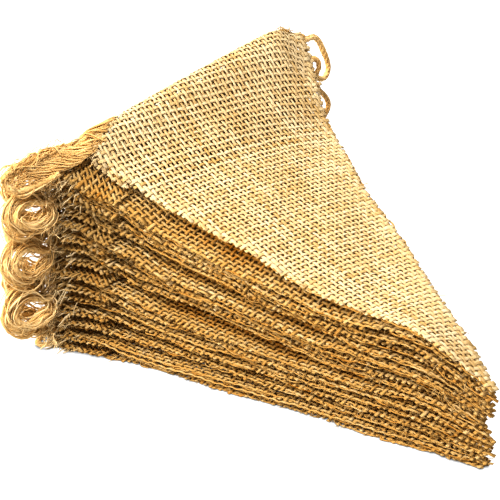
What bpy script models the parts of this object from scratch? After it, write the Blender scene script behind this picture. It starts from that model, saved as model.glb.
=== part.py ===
"""Fabric bunting, folded for storage: burlap pennants in a stack, strung on one jute twine.

Every pennant is a long triangle of burlap whose top edge is folded over the twine as a heading.
The string is folded back and forth, so the twine turns from one heading into the next in loops at
the right end and the left end by turns, and the hem of the heading lies under one pennant and on
top of the next. X runs from the headings to the tips, Y along the headings and Z up.
"""
import bpy
import numpy as np

MM = 0.001

# Driving dimensions, in millimetres
PENNANTS = 16
CUT_LENGTH = 220.0         # from the heading's fold to the tip, along the cloth
PENNANT_LENGTH = 203.0     # the same in plan on the upper pennant, which slopes the most
HEADING_HALF = 70.0        # half of its width at the heading, in plan
TIP_HALF = 1.4             # half of the blunt tip
CLOTH = 1.2                # thickness of the burlap
TWINE = 2.7                # diameter of the jute twine
HEM_DEPTH = 25.0           # how far the folded edge reaches back over the cloth
HEM_SHOWS = 1.5            # how far the hem's ends stand out from the cloth's sides
FOLD_CLEARANCE = 0.63      # between the twine and the cloth folded round it
HEM_GAP = 0.45             # between the hem and the cloth it lies on
FLARE = 5.5                # how much of the half width is the heading's flare
FLARE_LENGTH = 30.0        # how far down the sides the flare dies out
EDGE_WAVE = 0.7            # how far the cut sides wander from straight
CORNER_LENGTH = 20.0       # how far down the left side a drawn-out corner dies away

# The roll of the heading, worked out from the cloth and the twine
ROLL_RADIUS = TWINE / 2 + FOLD_CLEARANCE + CLOTH / 2
ROLL_CENTRE = CLOTH / 2 + ROLL_RADIUS
HEM_MIDDLE = 1.5 * CLOTH + HEM_GAP

# The upper pennant's height above the surface, along its left and right sides, and how much
# higher the cloth stands midway between them
STACK_COLUMNS = ("x", "left", "right", "crown")
STACK = [
    (6.0, 107.5, 140.0, 1.5),
    (12.0, 100.5, 130.5, 2.0),
    (22.0, 94.0, 117.0, 3.0),
    (34.0, 89.0, 105.0, 4.0),
    (48.0, 84.5, 96.0, 4.0),
    (68.0, 78.5, 89.0, 3.0),
    (100.0, 69.0, 77.5, 1.5),
    (140.0, 59.5, 64.0, 0.5),
    (172.0, 56.0, 53.5, 0.0),
    (203.0, 39.7, 39.7, 0.0),
]
HEADINGS_LEVEL_TO = 6.0    # the stack's top runs level under the headings, up to this x
LEVEL_SOFTNESS = 3.0
CORNER_DROP = 8.0          # how far the headings' right ends turn down
CORNER_FROM = 0.7          # as a share of the half width
CORNER_FADES = (6.0, 26.0)     # and from where to where along X the drop fades
WIDEST = 1.6               # the side heights run on straight up to this share of the half width

# One row for each pennant, from the bottom: how far its heading swings to the left about its
# tip, how far it slides along X, how much longer it is cut, the gap below its side and below its
# tip as shares, the height of its own ripple and how far its left top corner is drawn out
LAYER_COLUMNS = ("swing", "slide", "longer", "side_gap", "tip_gap", "ripple", "corner")
LAYERS = [
    (10.8, -0.5, -1.5, 0.0, 0.0, 0.0, 0.0),
    (9.6, 0.3, 0.0, 5.5, 2.5, 0.3, 1.0),
    (8.0, -0.6, -2.0, 6.0, 2.5, 0.6, 2.5),
    (7.0, 0.4, 0.5, 7.0, 3.6, 0.7, 1.5),
    (6.0, -0.4, 1.0, 4.2, 3.6, 0.7, 3.0),
    (7.5, 0.2, 1.0, 5.2, 3.6, 0.7, 2.0),
    (9.0, -0.8, 0.0, 5.0, 3.6, 0.8, 1.0),
    (4.0, -0.3, -3.5, 10.0, 2.5, 0.8, 5.0),
    (5.0, 0.3, -4.0, 4.2, 3.0, 0.7, 4.5),
    (6.5, -0.5, -3.0, 4.4, 3.0, 0.8, 3.0),
    (8.0, 0.1, -1.0, 4.6, 2.5, 0.8, 2.0),
    (3.5, -0.5, 0.0, 9.0, 3.2, 0.8, 7.0),
    (4.0, 0.3, -1.0, 4.2, 3.4, 0.7, 7.0),
    (5.0, -0.2, 0.5, 4.2, 3.6, 0.8, 7.5),
    (6.5, -0.5, -0.5, 5.0, 3.6, 0.8, 6.5),
    (0.0, 0.0, 0.0, 11.0, 2.5, 0.5, 0.0),
]
HEADING_GRIP = (26.0, 44.0)    # the headings set the spacing up to here and not past there
TIP_GRIP = (105.0, 170.0)      # the tips set it from here on
SIDE_DROOP = (0.62, 1.0)       # where across the half width the sides leave the even spacing
RIPPLE_LENGTH = 58.0
RIPPLE_STEADY = (40.0, 70.0)   # ripples grow in past the heading
RIPPLE_FADES = (120.0, 190.0)  # and die out towards the tips

# Stations along a pennant, from the tip to the hem's edge
BODY_STATIONS = (203.0, 186.0, 158.0, 128.0, 98.0, 72.0, 52.0, 37.0, 25.0, 15.0, 8.0, 3.2)
HEM_STATIONS = (3.2, 8.0, 15.0, 25.0)
ROLL_STEPS = 6
COLUMNS_ACROSS = (-1.0, -0.78, -0.42, 0.0, 0.42, 0.78, 1.0)    # as shares of the half width

# Twine loops, from the bottom: the lower heading of the pair, the end where it turns (-1 left,
# 1 right), its turns, how far it stands out, how far its end droops (or rises, below 0), its
# half height and its lean along X
LOOP_COLUMNS = ("lower", "end", "turns", "reach", "droop", "belly", "lean")
LOOPS = [
    (0, 1, 1, 20.0, -0.8, 6.2, 5.0),
    (1, -1, 2, 22.0, -8.0, 8.5, -6.0),
    (2, 1, 1, 22.0, 6.0, 8.0, -4.0),
    (3, -1, 2, 30.0, -3.0, 11.5, 6.0),
    (4, 1, 1, 19.0, 7.0, 8.0, 5.0),
    (5, -1, 2, 21.5, -1.0, 9.0, -6.0),
    (6, 1, 1, 21.0, 8.0, 8.0, -4.0),
    (7, -1, 2, 29.0, -3.5, 11.5, 7.0),
    (8, 1, 1, 19.0, 8.0, 8.0, 4.0),
    (9, -1, 2, 21.5, 0.0, 9.0, -7.5),
    (10, 1, 1, 29.0, 7.5, 9.0, 3.0),
    (11, -1, 2, 29.0, -3.0, 10.0, 8.0),
    (12, 1, 1, 14.0, -4.0, 6.0, 8.0),
    (13, -1, 2, 21.5, 3.0, 8.5, -9.5),
    (14, 1, 1, 28.0, 21.0, 11.0, -4.5),
]
TURN_APART = 3.6           # between the two turns of a loop, side by side and one in the other
TURN_BACK = 5.4            # radius of the bend near the heading between the two turns
TURN_BACK_FROM = 5.0       # how near to the heading that bend comes
LEAVES_BY = 4.6            # how far out the strands have reached their places side by side
CLOSE_OUT = 4.0            # how far out the strands of a single turn still run close together
SPREAD_AT = 0.36           # the share of its reach where a loop has opened
OPENING = 0.42             # to this share of its half height
OVAL = ((0.62, -0.96), (0.86, -0.74), (1.0, 0.0), (0.86, 0.74), (0.62, 0.96))    # out and up
SAG_POWER = 1.3            # how a loop's droop grows with its reach
LEAN_POWER = 0.45          # and how its lean does
MOUTH_DEPTH = 2.0          # how far inside a heading's end a loop starts
STRAIGHT_OUT = 1.2         # how far it runs straight out of the heading's end
FACE_GAP = 0.3             # between a loop's end and the run inside the heading
POINT_SPACING = 5.8        # along a loop or a loose end, between two and three diameters

# The loose ends: steps from the heading's end to points on the route, in X, out to the left, and Z
TAIL_COLUMNS = ("x", "out", "z")
TAIL_TOP = [
    (0.0, 4.0, 0.2), (-1.0, 12.0, 0.3), (-2.0, 23.0, -0.8), (-1.5, 33.0, -3.0), (0.0, 39.5, -6.2),
    (2.0, 38.0, -10.8), (3.5, 32.0, -12.2), (4.5, 23.0, -11.2), (6.0, 14.0, -8.3),
]
TAIL_BOTTOM = [
    (-0.6, 3.2, -0.2), (-3.8, 5.8, -0.9), (-8.6, 4.9, -1.5), (-11.8, 0.0, -1.5),
    (-12.6, -9.0, -1.5), (-12.0, -20.0, -1.5), (-12.8, -31.0, -1.5),
]


def column(table, names, name):
    """One named column of a table, as an array."""
    return np.array([row[names.index(name)] for row in table], dtype=float)


def smoothstep(start, end, x):
    """0 before start, 1 after end and a smooth step between them."""
    t = np.clip((np.asarray(x, dtype=float) - start) / (end - start), 0.0, 1.0)
    return t * t * (3.0 - 2.0 * t)


def smooth_curve(stations, values, x):
    """A smooth curve through the values, as cubic pieces with averaged slopes at the stations."""
    x = np.clip(x, stations[0], stations[-1])
    piece = np.clip(np.searchsorted(stations, x, side="right") - 1, 0, len(stations) - 2)
    width = np.diff(stations)
    slope = np.diff(values) / width
    tangent = np.empty_like(values)
    tangent[1:-1] = (slope[:-1] + slope[1:]) / 2
    tangent[0] = slope[0]
    tangent[-1] = slope[-1]
    h = width[piece]
    t = (x - stations[piece]) / h
    start = (2 * t**3 - 3 * t**2 + 1) * values[piece] + (t**3 - 2 * t**2 + t) * h * tangent[piece]
    end = (3 * t**2 - 2 * t**3) * values[piece + 1] + (t**3 - t**2) * h * tangent[piece + 1]
    return start + end


def half_width(x):
    """Half of a pennant's width at a distance from its fold: straight sides, flared at the top."""
    x = np.clip(x, 0.0, PENNANT_LENGTH)
    straight = TIP_HALF + (HEADING_HALF - FLARE - TIP_HALF) * (1.0 - x / PENNANT_LENGTH)
    return straight + FLARE * np.exp(-((x / FLARE_LENGTH) ** 2))


def drawn_out(layer, x):
    """How far the left side stands out from the half width, where its top corner is drawn out."""
    corner = LAYERS[layer][LAYER_COLUMNS.index("corner")]
    return corner * np.exp(-((np.maximum(x, 0.0) / CORNER_LENGTH) ** 2))


def stack_top(x, y):
    """Height under the upper pennant, at a place in plan."""
    past = np.asarray(x, dtype=float) - HEADINGS_LEVEL_TO
    x_soft = HEADINGS_LEVEL_TO + 0.5 * (past + np.sqrt(past**2 + LEVEL_SOFTNESS**2))
    stations = column(STACK, STACK_COLUMNS, "x")
    left = smooth_curve(stations, column(STACK, STACK_COLUMNS, "left"), x_soft)
    right = smooth_curve(stations, column(STACK, STACK_COLUMNS, "right"), x_soft)
    crown = smooth_curve(stations, column(STACK, STACK_COLUMNS, "crown"), x_soft)
    across = np.clip(y / half_width(x), -WIDEST, WIDEST)
    at_corner = smoothstep(CORNER_FROM, 1.0, across) * (1.0 - smoothstep(*CORNER_FADES, x_soft))
    level = left + (right - left) * (1.0 + across) / 2 + crown * (1.0 - across**2)
    return level - CORNER_DROP * at_corner


def share_below(layer, x, y):
    """The part of the stack's height that lies below a pennant, at a place in plan."""
    even = layer / (PENNANTS - 1)
    side_gap = column(LAYERS, LAYER_COLUMNS, "side_gap")
    tip_gap = column(LAYERS, LAYER_COLUMNS, "tip_gap")
    at_side = side_gap[: layer + 1].sum() / side_gap.sum()
    at_tip = tip_gap[: layer + 1].sum() / tip_gap.sum()
    heading = 1.0 - smoothstep(*HEADING_GRIP, x)
    tip = smoothstep(*TIP_GRIP, x)
    side = smoothstep(*SIDE_DROOP, np.abs(y) / half_width(x))
    middle = even + (at_side - even) * side
    free = middle + (at_tip - middle) * tip
    return free + (even - free) * heading


def ripple(layer, x, y):
    """The low waves of one pennant's own cloth."""
    height = LAYERS[layer][LAYER_COLUMNS.index("ripple")]
    grows = smoothstep(*RIPPLE_STEADY, x) * (1.0 - 0.75 * smoothstep(*RIPPLE_FADES, x))
    turn = 2 * np.pi / RIPPLE_LENGTH
    wave = np.sin(turn * (x + 0.45 * y) + 1.9 * layer) * np.cos(0.7 * turn * y + 0.8 * layer)
    return height * grows * wave


def rest_height(layer, x, y):
    """Height of the underside of a pennant's envelope, at a place in plan."""
    return share_below(layer, x, y) * stack_top(x, y) + ripple(layer, x, y)


def steepness(layer, x, y):
    """How much longer a plumb line through a sloping sheet is than the sheet is thick."""
    step = 0.5
    along = (rest_height(layer, x + step, y) - rest_height(layer, x - step, y)) / (2 * step)
    across = (rest_height(layer, x, y + step) - rest_height(layer, x, y - step)) / (2 * step)
    return np.sqrt(1.0 + along**2 + across**2)


def flatter(layer):
    """How much more a lower pennant covers in plan than the upper one, as it slopes less."""
    slope = layer / (PENNANTS - 1)
    fallen = (CUT_LENGTH**2 - PENNANT_LENGTH**2) * slope**2
    return np.sqrt(CUT_LENGTH**2 - fallen) / PENNANT_LENGTH


def lay(layer, along, across):
    """Turn a pennant's own coordinates into the place in plan where it lies."""
    swing = LAYERS[layer][LAYER_COLUMNS.index("swing")]
    slide = LAYERS[layer][LAYER_COLUMNS.index("slide")]
    longer = LAYERS[layer][LAYER_COLUMNS.index("longer")]
    angle = swing / PENNANT_LENGTH
    stretch = np.where(along > 0.0, 1.0 + longer / PENNANT_LENGTH, 1.0)
    from_tip = (along * stretch - PENNANT_LENGTH) * flatter(layer)
    across = across * flatter(layer)
    x = PENNANT_LENGTH + from_tip * np.cos(angle) - across * np.sin(angle) + slide
    y = from_tip * np.sin(angle) + across * np.cos(angle)
    return x, y


def profile(hem_on_top):
    """The cloth's middle line from tip to hem: place along X, height and whether it is hem."""
    body_x = np.array(BODY_STATIONS)
    hem_x = np.array(HEM_STATIONS)
    over_twine = ROLL_CENTRE + ROLL_RADIUS
    # The sheet that passes over the twine comes down in front of it onto the other one
    comes_down = smoothstep(-1.0, 9.0, body_x)
    upper_body = over_twine + (HEM_MIDDLE - over_twine) * comes_down
    settles = smoothstep(HEM_DEPTH, HEM_DEPTH + 14.0, body_x)
    upper_body = upper_body + (CLOTH / 2 - HEM_MIDDLE) * settles
    upper_hem = over_twine + (HEM_MIDDLE - over_twine) * smoothstep(-1.0, 9.0, hem_x)
    turn = np.pi * np.arange(ROLL_STEPS + 1) / ROLL_STEPS
    roll_x = -ROLL_RADIUS * np.sin(turn)
    if hem_on_top:
        body_z = np.full_like(body_x, CLOTH / 2)
        roll_z = ROLL_CENTRE - ROLL_RADIUS * np.cos(turn)
        hem_z = upper_hem
    else:
        body_z = upper_body
        roll_z = ROLL_CENTRE + ROLL_RADIUS * np.cos(turn)
        hem_z = np.full_like(hem_x, CLOTH / 2)
    x = np.concatenate([body_x, roll_x, hem_x])
    z = np.concatenate([body_z, roll_z, hem_z])
    is_hem = np.concatenate([np.zeros(len(body_x) + len(roll_x)), np.ones(len(hem_x))])
    return x, z, is_hem


def sheet_middle(layer):
    """The grid of points on the middle of one pennant's cloth, row by row from the tip."""
    along, height, is_hem = profile(hem_on_top=layer % 2 == 0)
    q = np.array(COLUMNS_ACROSS)
    wander = EDGE_WAVE * np.sin(along / 11.0 + 2.3 * layer) * smoothstep(8.0, 60.0, along)
    half = half_width(along) + HEM_SHOWS * is_hem + wander * (half_width(along) > 6.0)
    side = half[:, None] + drawn_out(layer, along)[:, None] * (q < 0.0)
    across = side * q
    rows = np.repeat(along[:, None], len(q), axis=1)
    x, y = lay(layer, rows, across)
    z = rest_height(layer, x, y) + height[:, None] * steepness(layer, x, y)
    return np.stack([x, y, z], axis=-1)


def grid_normals(grid):
    """Unit normals of a grid of points, from the steps to its neighbours."""
    down = np.gradient(grid, axis=0)
    across = np.gradient(grid, axis=1)
    normal = np.cross(down, across)
    return normal / np.linalg.norm(normal, axis=-1, keepdims=True)


def solid_sheet(grid, thickness):
    """A closed solid: the grid moved half the thickness each way, with a rim all round."""
    rows, columns = grid.shape[:2]
    offset = grid_normals(grid) * thickness / 2
    points = np.concatenate([(grid + offset).reshape(-1, 3), (grid - offset).reshape(-1, 3)])
    count = rows * columns
    index = np.arange(count).reshape(rows, columns)
    a, b = index[:-1, :-1].ravel(), index[1:, :-1].ravel()
    c, d = index[1:, 1:].ravel(), index[:-1, 1:].ravel()
    front = np.stack([a, b, c, d], axis=1)
    back = np.stack([a, d, c, b], axis=1) + count
    rim = np.concatenate([index[0, :-1], index[:-1, -1], index[-1, :0:-1], index[:0:-1, 0]])
    after = np.roll(rim, -1)
    edge = np.stack([rim, after, after + count, rim + count], axis=1)
    return points, np.concatenate([front, back, edge])


def jute_material(name, colour, roughness):
    """A plain dry fibre finish in one colour."""
    material = bpy.data.materials.new(name)
    material.use_nodes = True
    shader = material.node_tree.nodes["Principled BSDF"]
    shader.inputs["Base Color"].default_value = (*colour, 1.0)
    shader.inputs["Roughness"].default_value = roughness
    shader.inputs["Metallic"].default_value = 0.0
    return material


def add_object(name, data, material, parent):
    """Link new object data into the scene under its parent."""
    data.materials.append(material)
    piece = bpy.data.objects.new(name, data)
    bpy.context.scene.collection.objects.link(piece)
    piece.parent = parent
    return piece


def add_pennant(layer, material, parent):
    """One pennant as a closed sheet with its heading folded over."""
    points, faces = solid_sheet(sheet_middle(layer), CLOTH)
    mesh = bpy.data.meshes.new(f"pennant_{layer + 1:02d}")
    mesh.from_pydata((points * MM).tolist(), [], faces.tolist())
    mesh.update()
    mesh.shade_smooth()
    return add_object(mesh.name, mesh, material, parent)


def add_twine(name, points, material, parent):
    """A length of twine as a round tube with filled ends, through points in millimetres."""
    curve = bpy.data.curves.new(name, "CURVE")
    curve.dimensions = "3D"
    curve.bevel_depth = TWINE / 2 * MM
    curve.bevel_resolution = 2
    curve.use_fill_caps = True
    spline = curve.splines.new("POLY")
    spline.points.add(len(points) - 1)
    for point, place in zip(spline.points, points * MM):
        point.co = (*place, 1.0)
    return add_object(name, curve, material, parent)


def heading_line(layer):
    """The middle line of a heading's roll, one point for each column of the cloth's grid."""
    q = np.array(COLUMNS_ACROSS)
    across = (HEADING_HALF + drawn_out(layer, 0.0) * (q < 0.0)) * q
    x, y = lay(layer, np.zeros_like(across), across)
    z = rest_height(layer, x, y) + ROLL_CENTRE * steepness(layer, x, y)
    return np.stack([x, y, z], axis=1)


def heading_end(layer, end):
    """The middle of a heading's open end and the unit direction pointing out of it."""
    line = heading_line(layer)
    inner, outer = (line[1], line[0]) if end < 0 else (line[-2], line[-1])
    return outer, (outer - inner) / np.linalg.norm(outer - inner)


def heading_run(layer):
    """The twine's points inside a heading, stopping short of the loops that enter its ends."""
    line = heading_line(layer)
    for end, place in ((-1, 0), (1, -1)):
        mouth, outward = heading_end(layer, end)
        line[place] = mouth - outward * (MOUTH_DEPTH + FACE_GAP)
    return line


def evenly_spaced(route, spacing):
    """Points at even steps along a smooth curve through the route's own points."""
    route = np.asarray(route, dtype=float)
    run = np.concatenate([[0.0], np.cumsum(np.linalg.norm(np.diff(route, axis=0), axis=1))])
    fine = np.linspace(0.0, run[-1], 400)
    curve = np.stack([smooth_curve(run, route[:, k], fine) for k in range(3)], axis=1)
    length = np.concatenate([[0.0], np.cumsum(np.linalg.norm(np.diff(curve, axis=0), axis=1))])
    count = max(4, int(round(length[-1] / spacing)) + 1)
    steps = np.linspace(0.0, length[-1], count)
    return np.stack([np.interp(steps, length, curve[:, k]) for k in range(3)], axis=1)


def loop_route(row):
    """The twine's route out of one heading, once or twice round and into the heading above."""
    settings = dict(zip(LOOP_COLUMNS, row))
    lower, low_out = heading_end(settings["lower"], settings["end"])
    upper, high_out = heading_end(settings["lower"] + 1, settings["end"])
    middle = (lower + upper) / 2
    outward = np.array([0.0, float(settings["end"]), 0.0])
    sideways = np.array([1.0, 0.0, 0.0])
    up = np.array([0.0, 0.0, 1.0])

    def place(out, height, aside):
        """A point so far out, so high above the loop's drooping middle and so far aside."""
        share = out / settings["reach"]
        sag = -settings["droop"] * share**SAG_POWER
        lean = settings["lean"] * share**LEAN_POWER + aside
        return middle + outward * out + up * (height + sag) + sideways * lean

    def oval_end(inset, aside):
        """The far half of one turn, from its lower strand round to its upper one."""
        reach = settings["reach"] - inset
        belly = settings["belly"] - inset
        return [place(reach * out, belly * height, aside) for out, height in OVAL]

    apart = np.linalg.norm(upper - lower) / 2
    spread = SPREAD_AT * settings["reach"]
    opening = max(OPENING * settings["belly"], apart)
    if settings["turns"] == 1:
        route = [place(CLOSE_OUT, -apart, 0.0), place(spread, -opening, 0.0)]
        route += [*oval_end(0.0, 0.0), place(spread, opening, 0.0), place(CLOSE_OUT, apart, 0.0)]
    else:
        aside = TURN_APART / 2
        bend = TURN_BACK * np.sqrt(0.5)
        shift = TURN_BACK - bend
        centre = TURN_BACK_FROM + TURN_BACK
        route = [place(LEAVES_BY, -apart, -aside), place(spread, -opening, -aside)]
        route += oval_end(0.0, -aside)
        route += [place(centre, TURN_BACK, -aside), place(TURN_BACK_FROM + shift, bend, -aside)]
        route += [place(TURN_BACK_FROM, 0.0, 0.0)]
        route += [place(TURN_BACK_FROM + shift, -bend, aside), place(centre, -TURN_BACK, aside)]
        route += oval_end(TURN_APART, aside)
        route += [place(spread, opening, aside), place(LEAVES_BY, apart, aside)]
    route = [lower + low_out * STRAIGHT_OUT, *route, upper + high_out * STRAIGHT_OUT]
    return np.concatenate([
        [lower - low_out * MOUTH_DEPTH],
        evenly_spaced(route, POINT_SPACING),
        [upper - high_out * MOUTH_DEPTH],
    ])


def tail_route(layer, table):
    """The route of a loose end that leaves a heading's left end."""
    start, outward = heading_end(layer, -1)
    steps = np.stack([column(table, TAIL_COLUMNS, name) for name in TAIL_COLUMNS], axis=1)
    mouth = start + outward * STRAIGHT_OUT
    free = np.concatenate([[mouth], mouth + steps * np.array([1.0, -1.0, 1.0])])
    return np.concatenate([[start - outward * MOUTH_DEPTH], evenly_spaced(free, POINT_SPACING)])


def plan_centre():
    """The middle of the pennants' box in plan, which the origin stands under."""
    points = np.concatenate([
        solid_sheet(sheet_middle(layer), CLOTH)[0] for layer in range(PENNANTS)
    ])
    return (points.min(axis=0) + points.max(axis=0))[:2] / 2


def build():
    """Make every pennant, heading run, loop and loose end."""
    for old in list(bpy.data.objects):
        bpy.data.objects.remove(old, do_unlink=True)
    burlap = jute_material("burlap", (0.62, 0.43, 0.20), 0.92)
    twine = jute_material("jute_twine", (0.50, 0.33, 0.14), 0.88)
    stack = bpy.data.objects.new("bunting_stack", None)
    bpy.context.scene.collection.objects.link(stack)
    centre = plan_centre()
    stack.location = (-centre[0] * MM, -centre[1] * MM, 0.0)
    for layer in range(PENNANTS):
        add_pennant(layer, burlap, stack)
        add_twine(f"heading_twine_{layer + 1:02d}", heading_run(layer), twine, stack)
    for number, row in enumerate(LOOPS, start=1):
        add_twine(f"twine_loop_{number:02d}", loop_route(row), twine, stack)
    add_twine("twine_tail_top", tail_route(PENNANTS - 1, TAIL_TOP), twine, stack)
    add_twine("twine_tail_bottom", tail_route(0, TAIL_BOTTOM), twine, stack)


build()
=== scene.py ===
"""Looks of the fabric bunting: burlap woven from single yarns, twisted jute twine and studio light.

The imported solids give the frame. The pennants lie in one stack, so every cloth is worked out from
one function for the height of the stack and one profile for the heading that is folded over the
twine. Lengths are in millimetres until a mesh is written, X runs from the headings to the tips,
Y along the headings (left is -Y) and Z up.
"""

import logging
from dataclasses import dataclass
from enum import Enum

import bpy
import numpy as np
from mathutils import Matrix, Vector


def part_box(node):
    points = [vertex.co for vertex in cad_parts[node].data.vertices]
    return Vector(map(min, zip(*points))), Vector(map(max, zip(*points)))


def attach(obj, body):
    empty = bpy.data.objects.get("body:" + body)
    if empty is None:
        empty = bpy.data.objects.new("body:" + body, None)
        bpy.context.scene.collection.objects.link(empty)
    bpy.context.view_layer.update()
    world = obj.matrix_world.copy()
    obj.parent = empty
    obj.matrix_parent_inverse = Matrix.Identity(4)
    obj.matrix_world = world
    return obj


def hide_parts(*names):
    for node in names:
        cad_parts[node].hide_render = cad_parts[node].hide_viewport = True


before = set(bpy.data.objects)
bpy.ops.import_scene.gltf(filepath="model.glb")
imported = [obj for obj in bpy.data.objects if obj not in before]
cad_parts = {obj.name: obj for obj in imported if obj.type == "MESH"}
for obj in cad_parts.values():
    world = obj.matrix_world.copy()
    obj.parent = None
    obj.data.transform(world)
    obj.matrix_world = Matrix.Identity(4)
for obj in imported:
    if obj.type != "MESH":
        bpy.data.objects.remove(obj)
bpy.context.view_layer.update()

LOG = logging.getLogger("bunting")
MM = 0.001
BODY = "root"
BURLAP_SLOT = "burlap"
TWINE_SLOT = "jute_twine"
WHITE = (1.0, 1.0, 1.0, 1.0)

# Driving sizes of the solids
PENNANTS = 16
CUT_LENGTH = 220.0
PENNANT_LENGTH = 203.0
HEADING_HALF = 70.0
TIP_HALF = 1.4
CLOTH = 1.2
TWINE = 2.7
HEM_DEPTH = 25.0
HEM_SHOWS = 1.5
FOLD_CLEARANCE = 0.63
HEM_GAP = 0.45
FLARE = 5.5
FLARE_LENGTH = 30.0
EDGE_WAVE = 0.7
CORNER_LENGTH = 20.0
ROLL_RADIUS = TWINE / 2 + FOLD_CLEARANCE + CLOTH / 2
ROLL_CENTRE = CLOTH / 2 + ROLL_RADIUS
ROLL_ARC = np.pi * ROLL_RADIUS
HEM_MIDDLE = 1.5 * CLOTH + HEM_GAP
HEADINGS_LEVEL_TO = 6.0
LEVEL_SOFTNESS = 3.0
CORNER_DROP = 8.0
CORNER_FROM = 0.7
CORNER_FADES = (6.0, 26.0)
WIDEST = 1.6
HEADING_GRIP = (26.0, 44.0)
TIP_GRIP = (105.0, 170.0)
SIDE_DROOP = (0.62, 1.0)
RIPPLE_LENGTH = 58.0
RIPPLE_STEADY = (40.0, 70.0)
RIPPLE_FADES = (120.0, 190.0)
RIPPLE_CALMS = 0.75
RIPPLE_SLANT = 0.45
RIPPLE_ACROSS = 0.7
RIPPLE_PHASES = (1.9, 0.8)
EDGE_WAVE_LENGTH = 11.0
EDGE_WAVE_PHASE = 2.3
EDGE_WAVE_GROWS = (8.0, 60.0)
EDGE_WAVE_WIDTH = 6.0
UPPER_SETTLES = (-1.0, 9.0)
PAST_HEM = 14.0

# Steps for slopes and normals, points for smooth curves and areas, and millimetres to 1 in V
SLOPE_STEP = 0.5
NORMAL_STEP = 0.4
CURVE_POINTS = 600
FEWEST_POINTS = 4
AREA_POINTS = 2000
MM_IN_V = 10.0

# The upper pennant's height along its left and right sides, and its crown between them
STACK_X = np.array([6.0, 12.0, 22.0, 34.0, 48.0, 68.0, 100.0, 140.0, 172.0, 203.0])
STACK_LEFT = np.array([107.5, 100.5, 94.0, 89.0, 84.5, 78.5, 69.0, 59.5, 56.0, 39.7])
STACK_RIGHT = np.array([140.0, 130.5, 117.0, 105.0, 96.0, 89.0, 77.5, 64.0, 53.5, 39.7])
STACK_CROWN = np.array([1.5, 2.0, 3.0, 4.0, 4.0, 3.0, 1.5, 0.5, 0.0, 0.0])


@dataclass(frozen=True)
class Layer:
    """How one pennant lies in the stack: swing, slide and extra length in millimetres, the gaps
    below its side and its tip as shares, the height of its ripple and how far its left top
    corner is drawn out."""

    swing: float
    slide: float
    longer: float
    side_gap: float
    tip_gap: float
    ripple: float
    corner: float


LAYERS = (
    Layer(10.8, -0.5, -1.5, 0.0, 0.0, 0.0, 0.0),
    Layer(9.6, 0.3, 0.0, 5.5, 2.5, 0.3, 1.0),
    Layer(8.0, -0.6, -2.0, 6.0, 2.5, 0.6, 2.5),
    Layer(7.0, 0.4, 0.5, 7.0, 3.6, 0.7, 1.5),
    Layer(6.0, -0.4, 1.0, 4.2, 3.6, 0.7, 3.0),
    Layer(7.5, 0.2, 1.0, 5.2, 3.6, 0.7, 2.0),
    Layer(9.0, -0.8, 0.0, 5.0, 3.6, 0.8, 1.0),
    Layer(4.0, -0.3, -3.5, 10.0, 2.5, 0.8, 5.0),
    Layer(5.0, 0.3, -4.0, 4.2, 3.0, 0.7, 4.5),
    Layer(6.5, -0.5, -3.0, 4.4, 3.0, 0.8, 3.0),
    Layer(8.0, 0.1, -1.0, 4.6, 2.5, 0.8, 2.0),
    Layer(3.5, -0.5, 0.0, 9.0, 3.2, 0.8, 7.0),
    Layer(4.0, 0.3, -1.0, 4.2, 3.4, 0.7, 7.0),
    Layer(5.0, -0.2, 0.5, 4.2, 3.6, 0.8, 7.5),
    Layer(6.5, -0.5, -0.5, 5.0, 3.6, 0.8, 6.5),
    Layer(0.0, 0.0, 0.0, 11.0, 2.5, 0.5, 0.0),
)


@dataclass(frozen=True)
class Loop:
    """One loop of twine: the lower heading of its pair, the end where it turns (-1 left, 1
    right), its turns, and its reach, droop, half height and lean along X in millimetres."""

    lower: int
    end: int
    turns: int
    reach: float
    droop: float
    belly: float
    lean: float


LOOPS = (
    Loop(0, 1, 1, 20.0, -0.8, 6.2, 5.0),
    Loop(1, -1, 2, 22.0, -8.0, 8.5, -6.0),
    Loop(2, 1, 1, 22.0, 6.0, 8.0, -4.0),
    Loop(3, -1, 2, 30.0, -3.0, 11.5, 6.0),
    Loop(4, 1, 1, 19.0, 7.0, 8.0, 5.0),
    Loop(5, -1, 2, 21.5, -1.0, 9.0, -6.0),
    Loop(6, 1, 1, 21.0, 8.0, 8.0, -4.0),
    Loop(7, -1, 2, 29.0, -3.5, 11.5, 7.0),
    Loop(8, 1, 1, 19.0, 8.0, 8.0, 4.0),
    Loop(9, -1, 2, 21.5, 0.0, 9.0, -7.5),
    Loop(10, 1, 1, 29.0, 7.5, 9.0, 3.0),
    Loop(11, -1, 2, 29.0, -3.0, 10.0, 8.0),
    Loop(12, 1, 1, 14.0, -4.0, 6.0, 8.0),
    Loop(13, -1, 2, 21.5, 3.0, 8.5, -9.5),
    Loop(14, 1, 1, 28.0, 21.0, 11.0, -4.5),
)
TURN_APART = 3.6
TURN_BACK = 5.4
TURN_BACK_FROM = 5.0
LEAVES_BY = 4.6
SAG_POWER = 1.3
LEAN_POWER = 0.45
MOUTH_DEPTH = 2.0
STRAIGHT_OUT = 1.2
CLOSE_OUT = 4.0
SPREAD_AT = 0.36
OPENING = 0.42
OVAL = ((0.62, -0.96), (0.86, -0.74), (1.0, 0.0), (0.86, 0.74), (0.62, 0.96))

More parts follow.
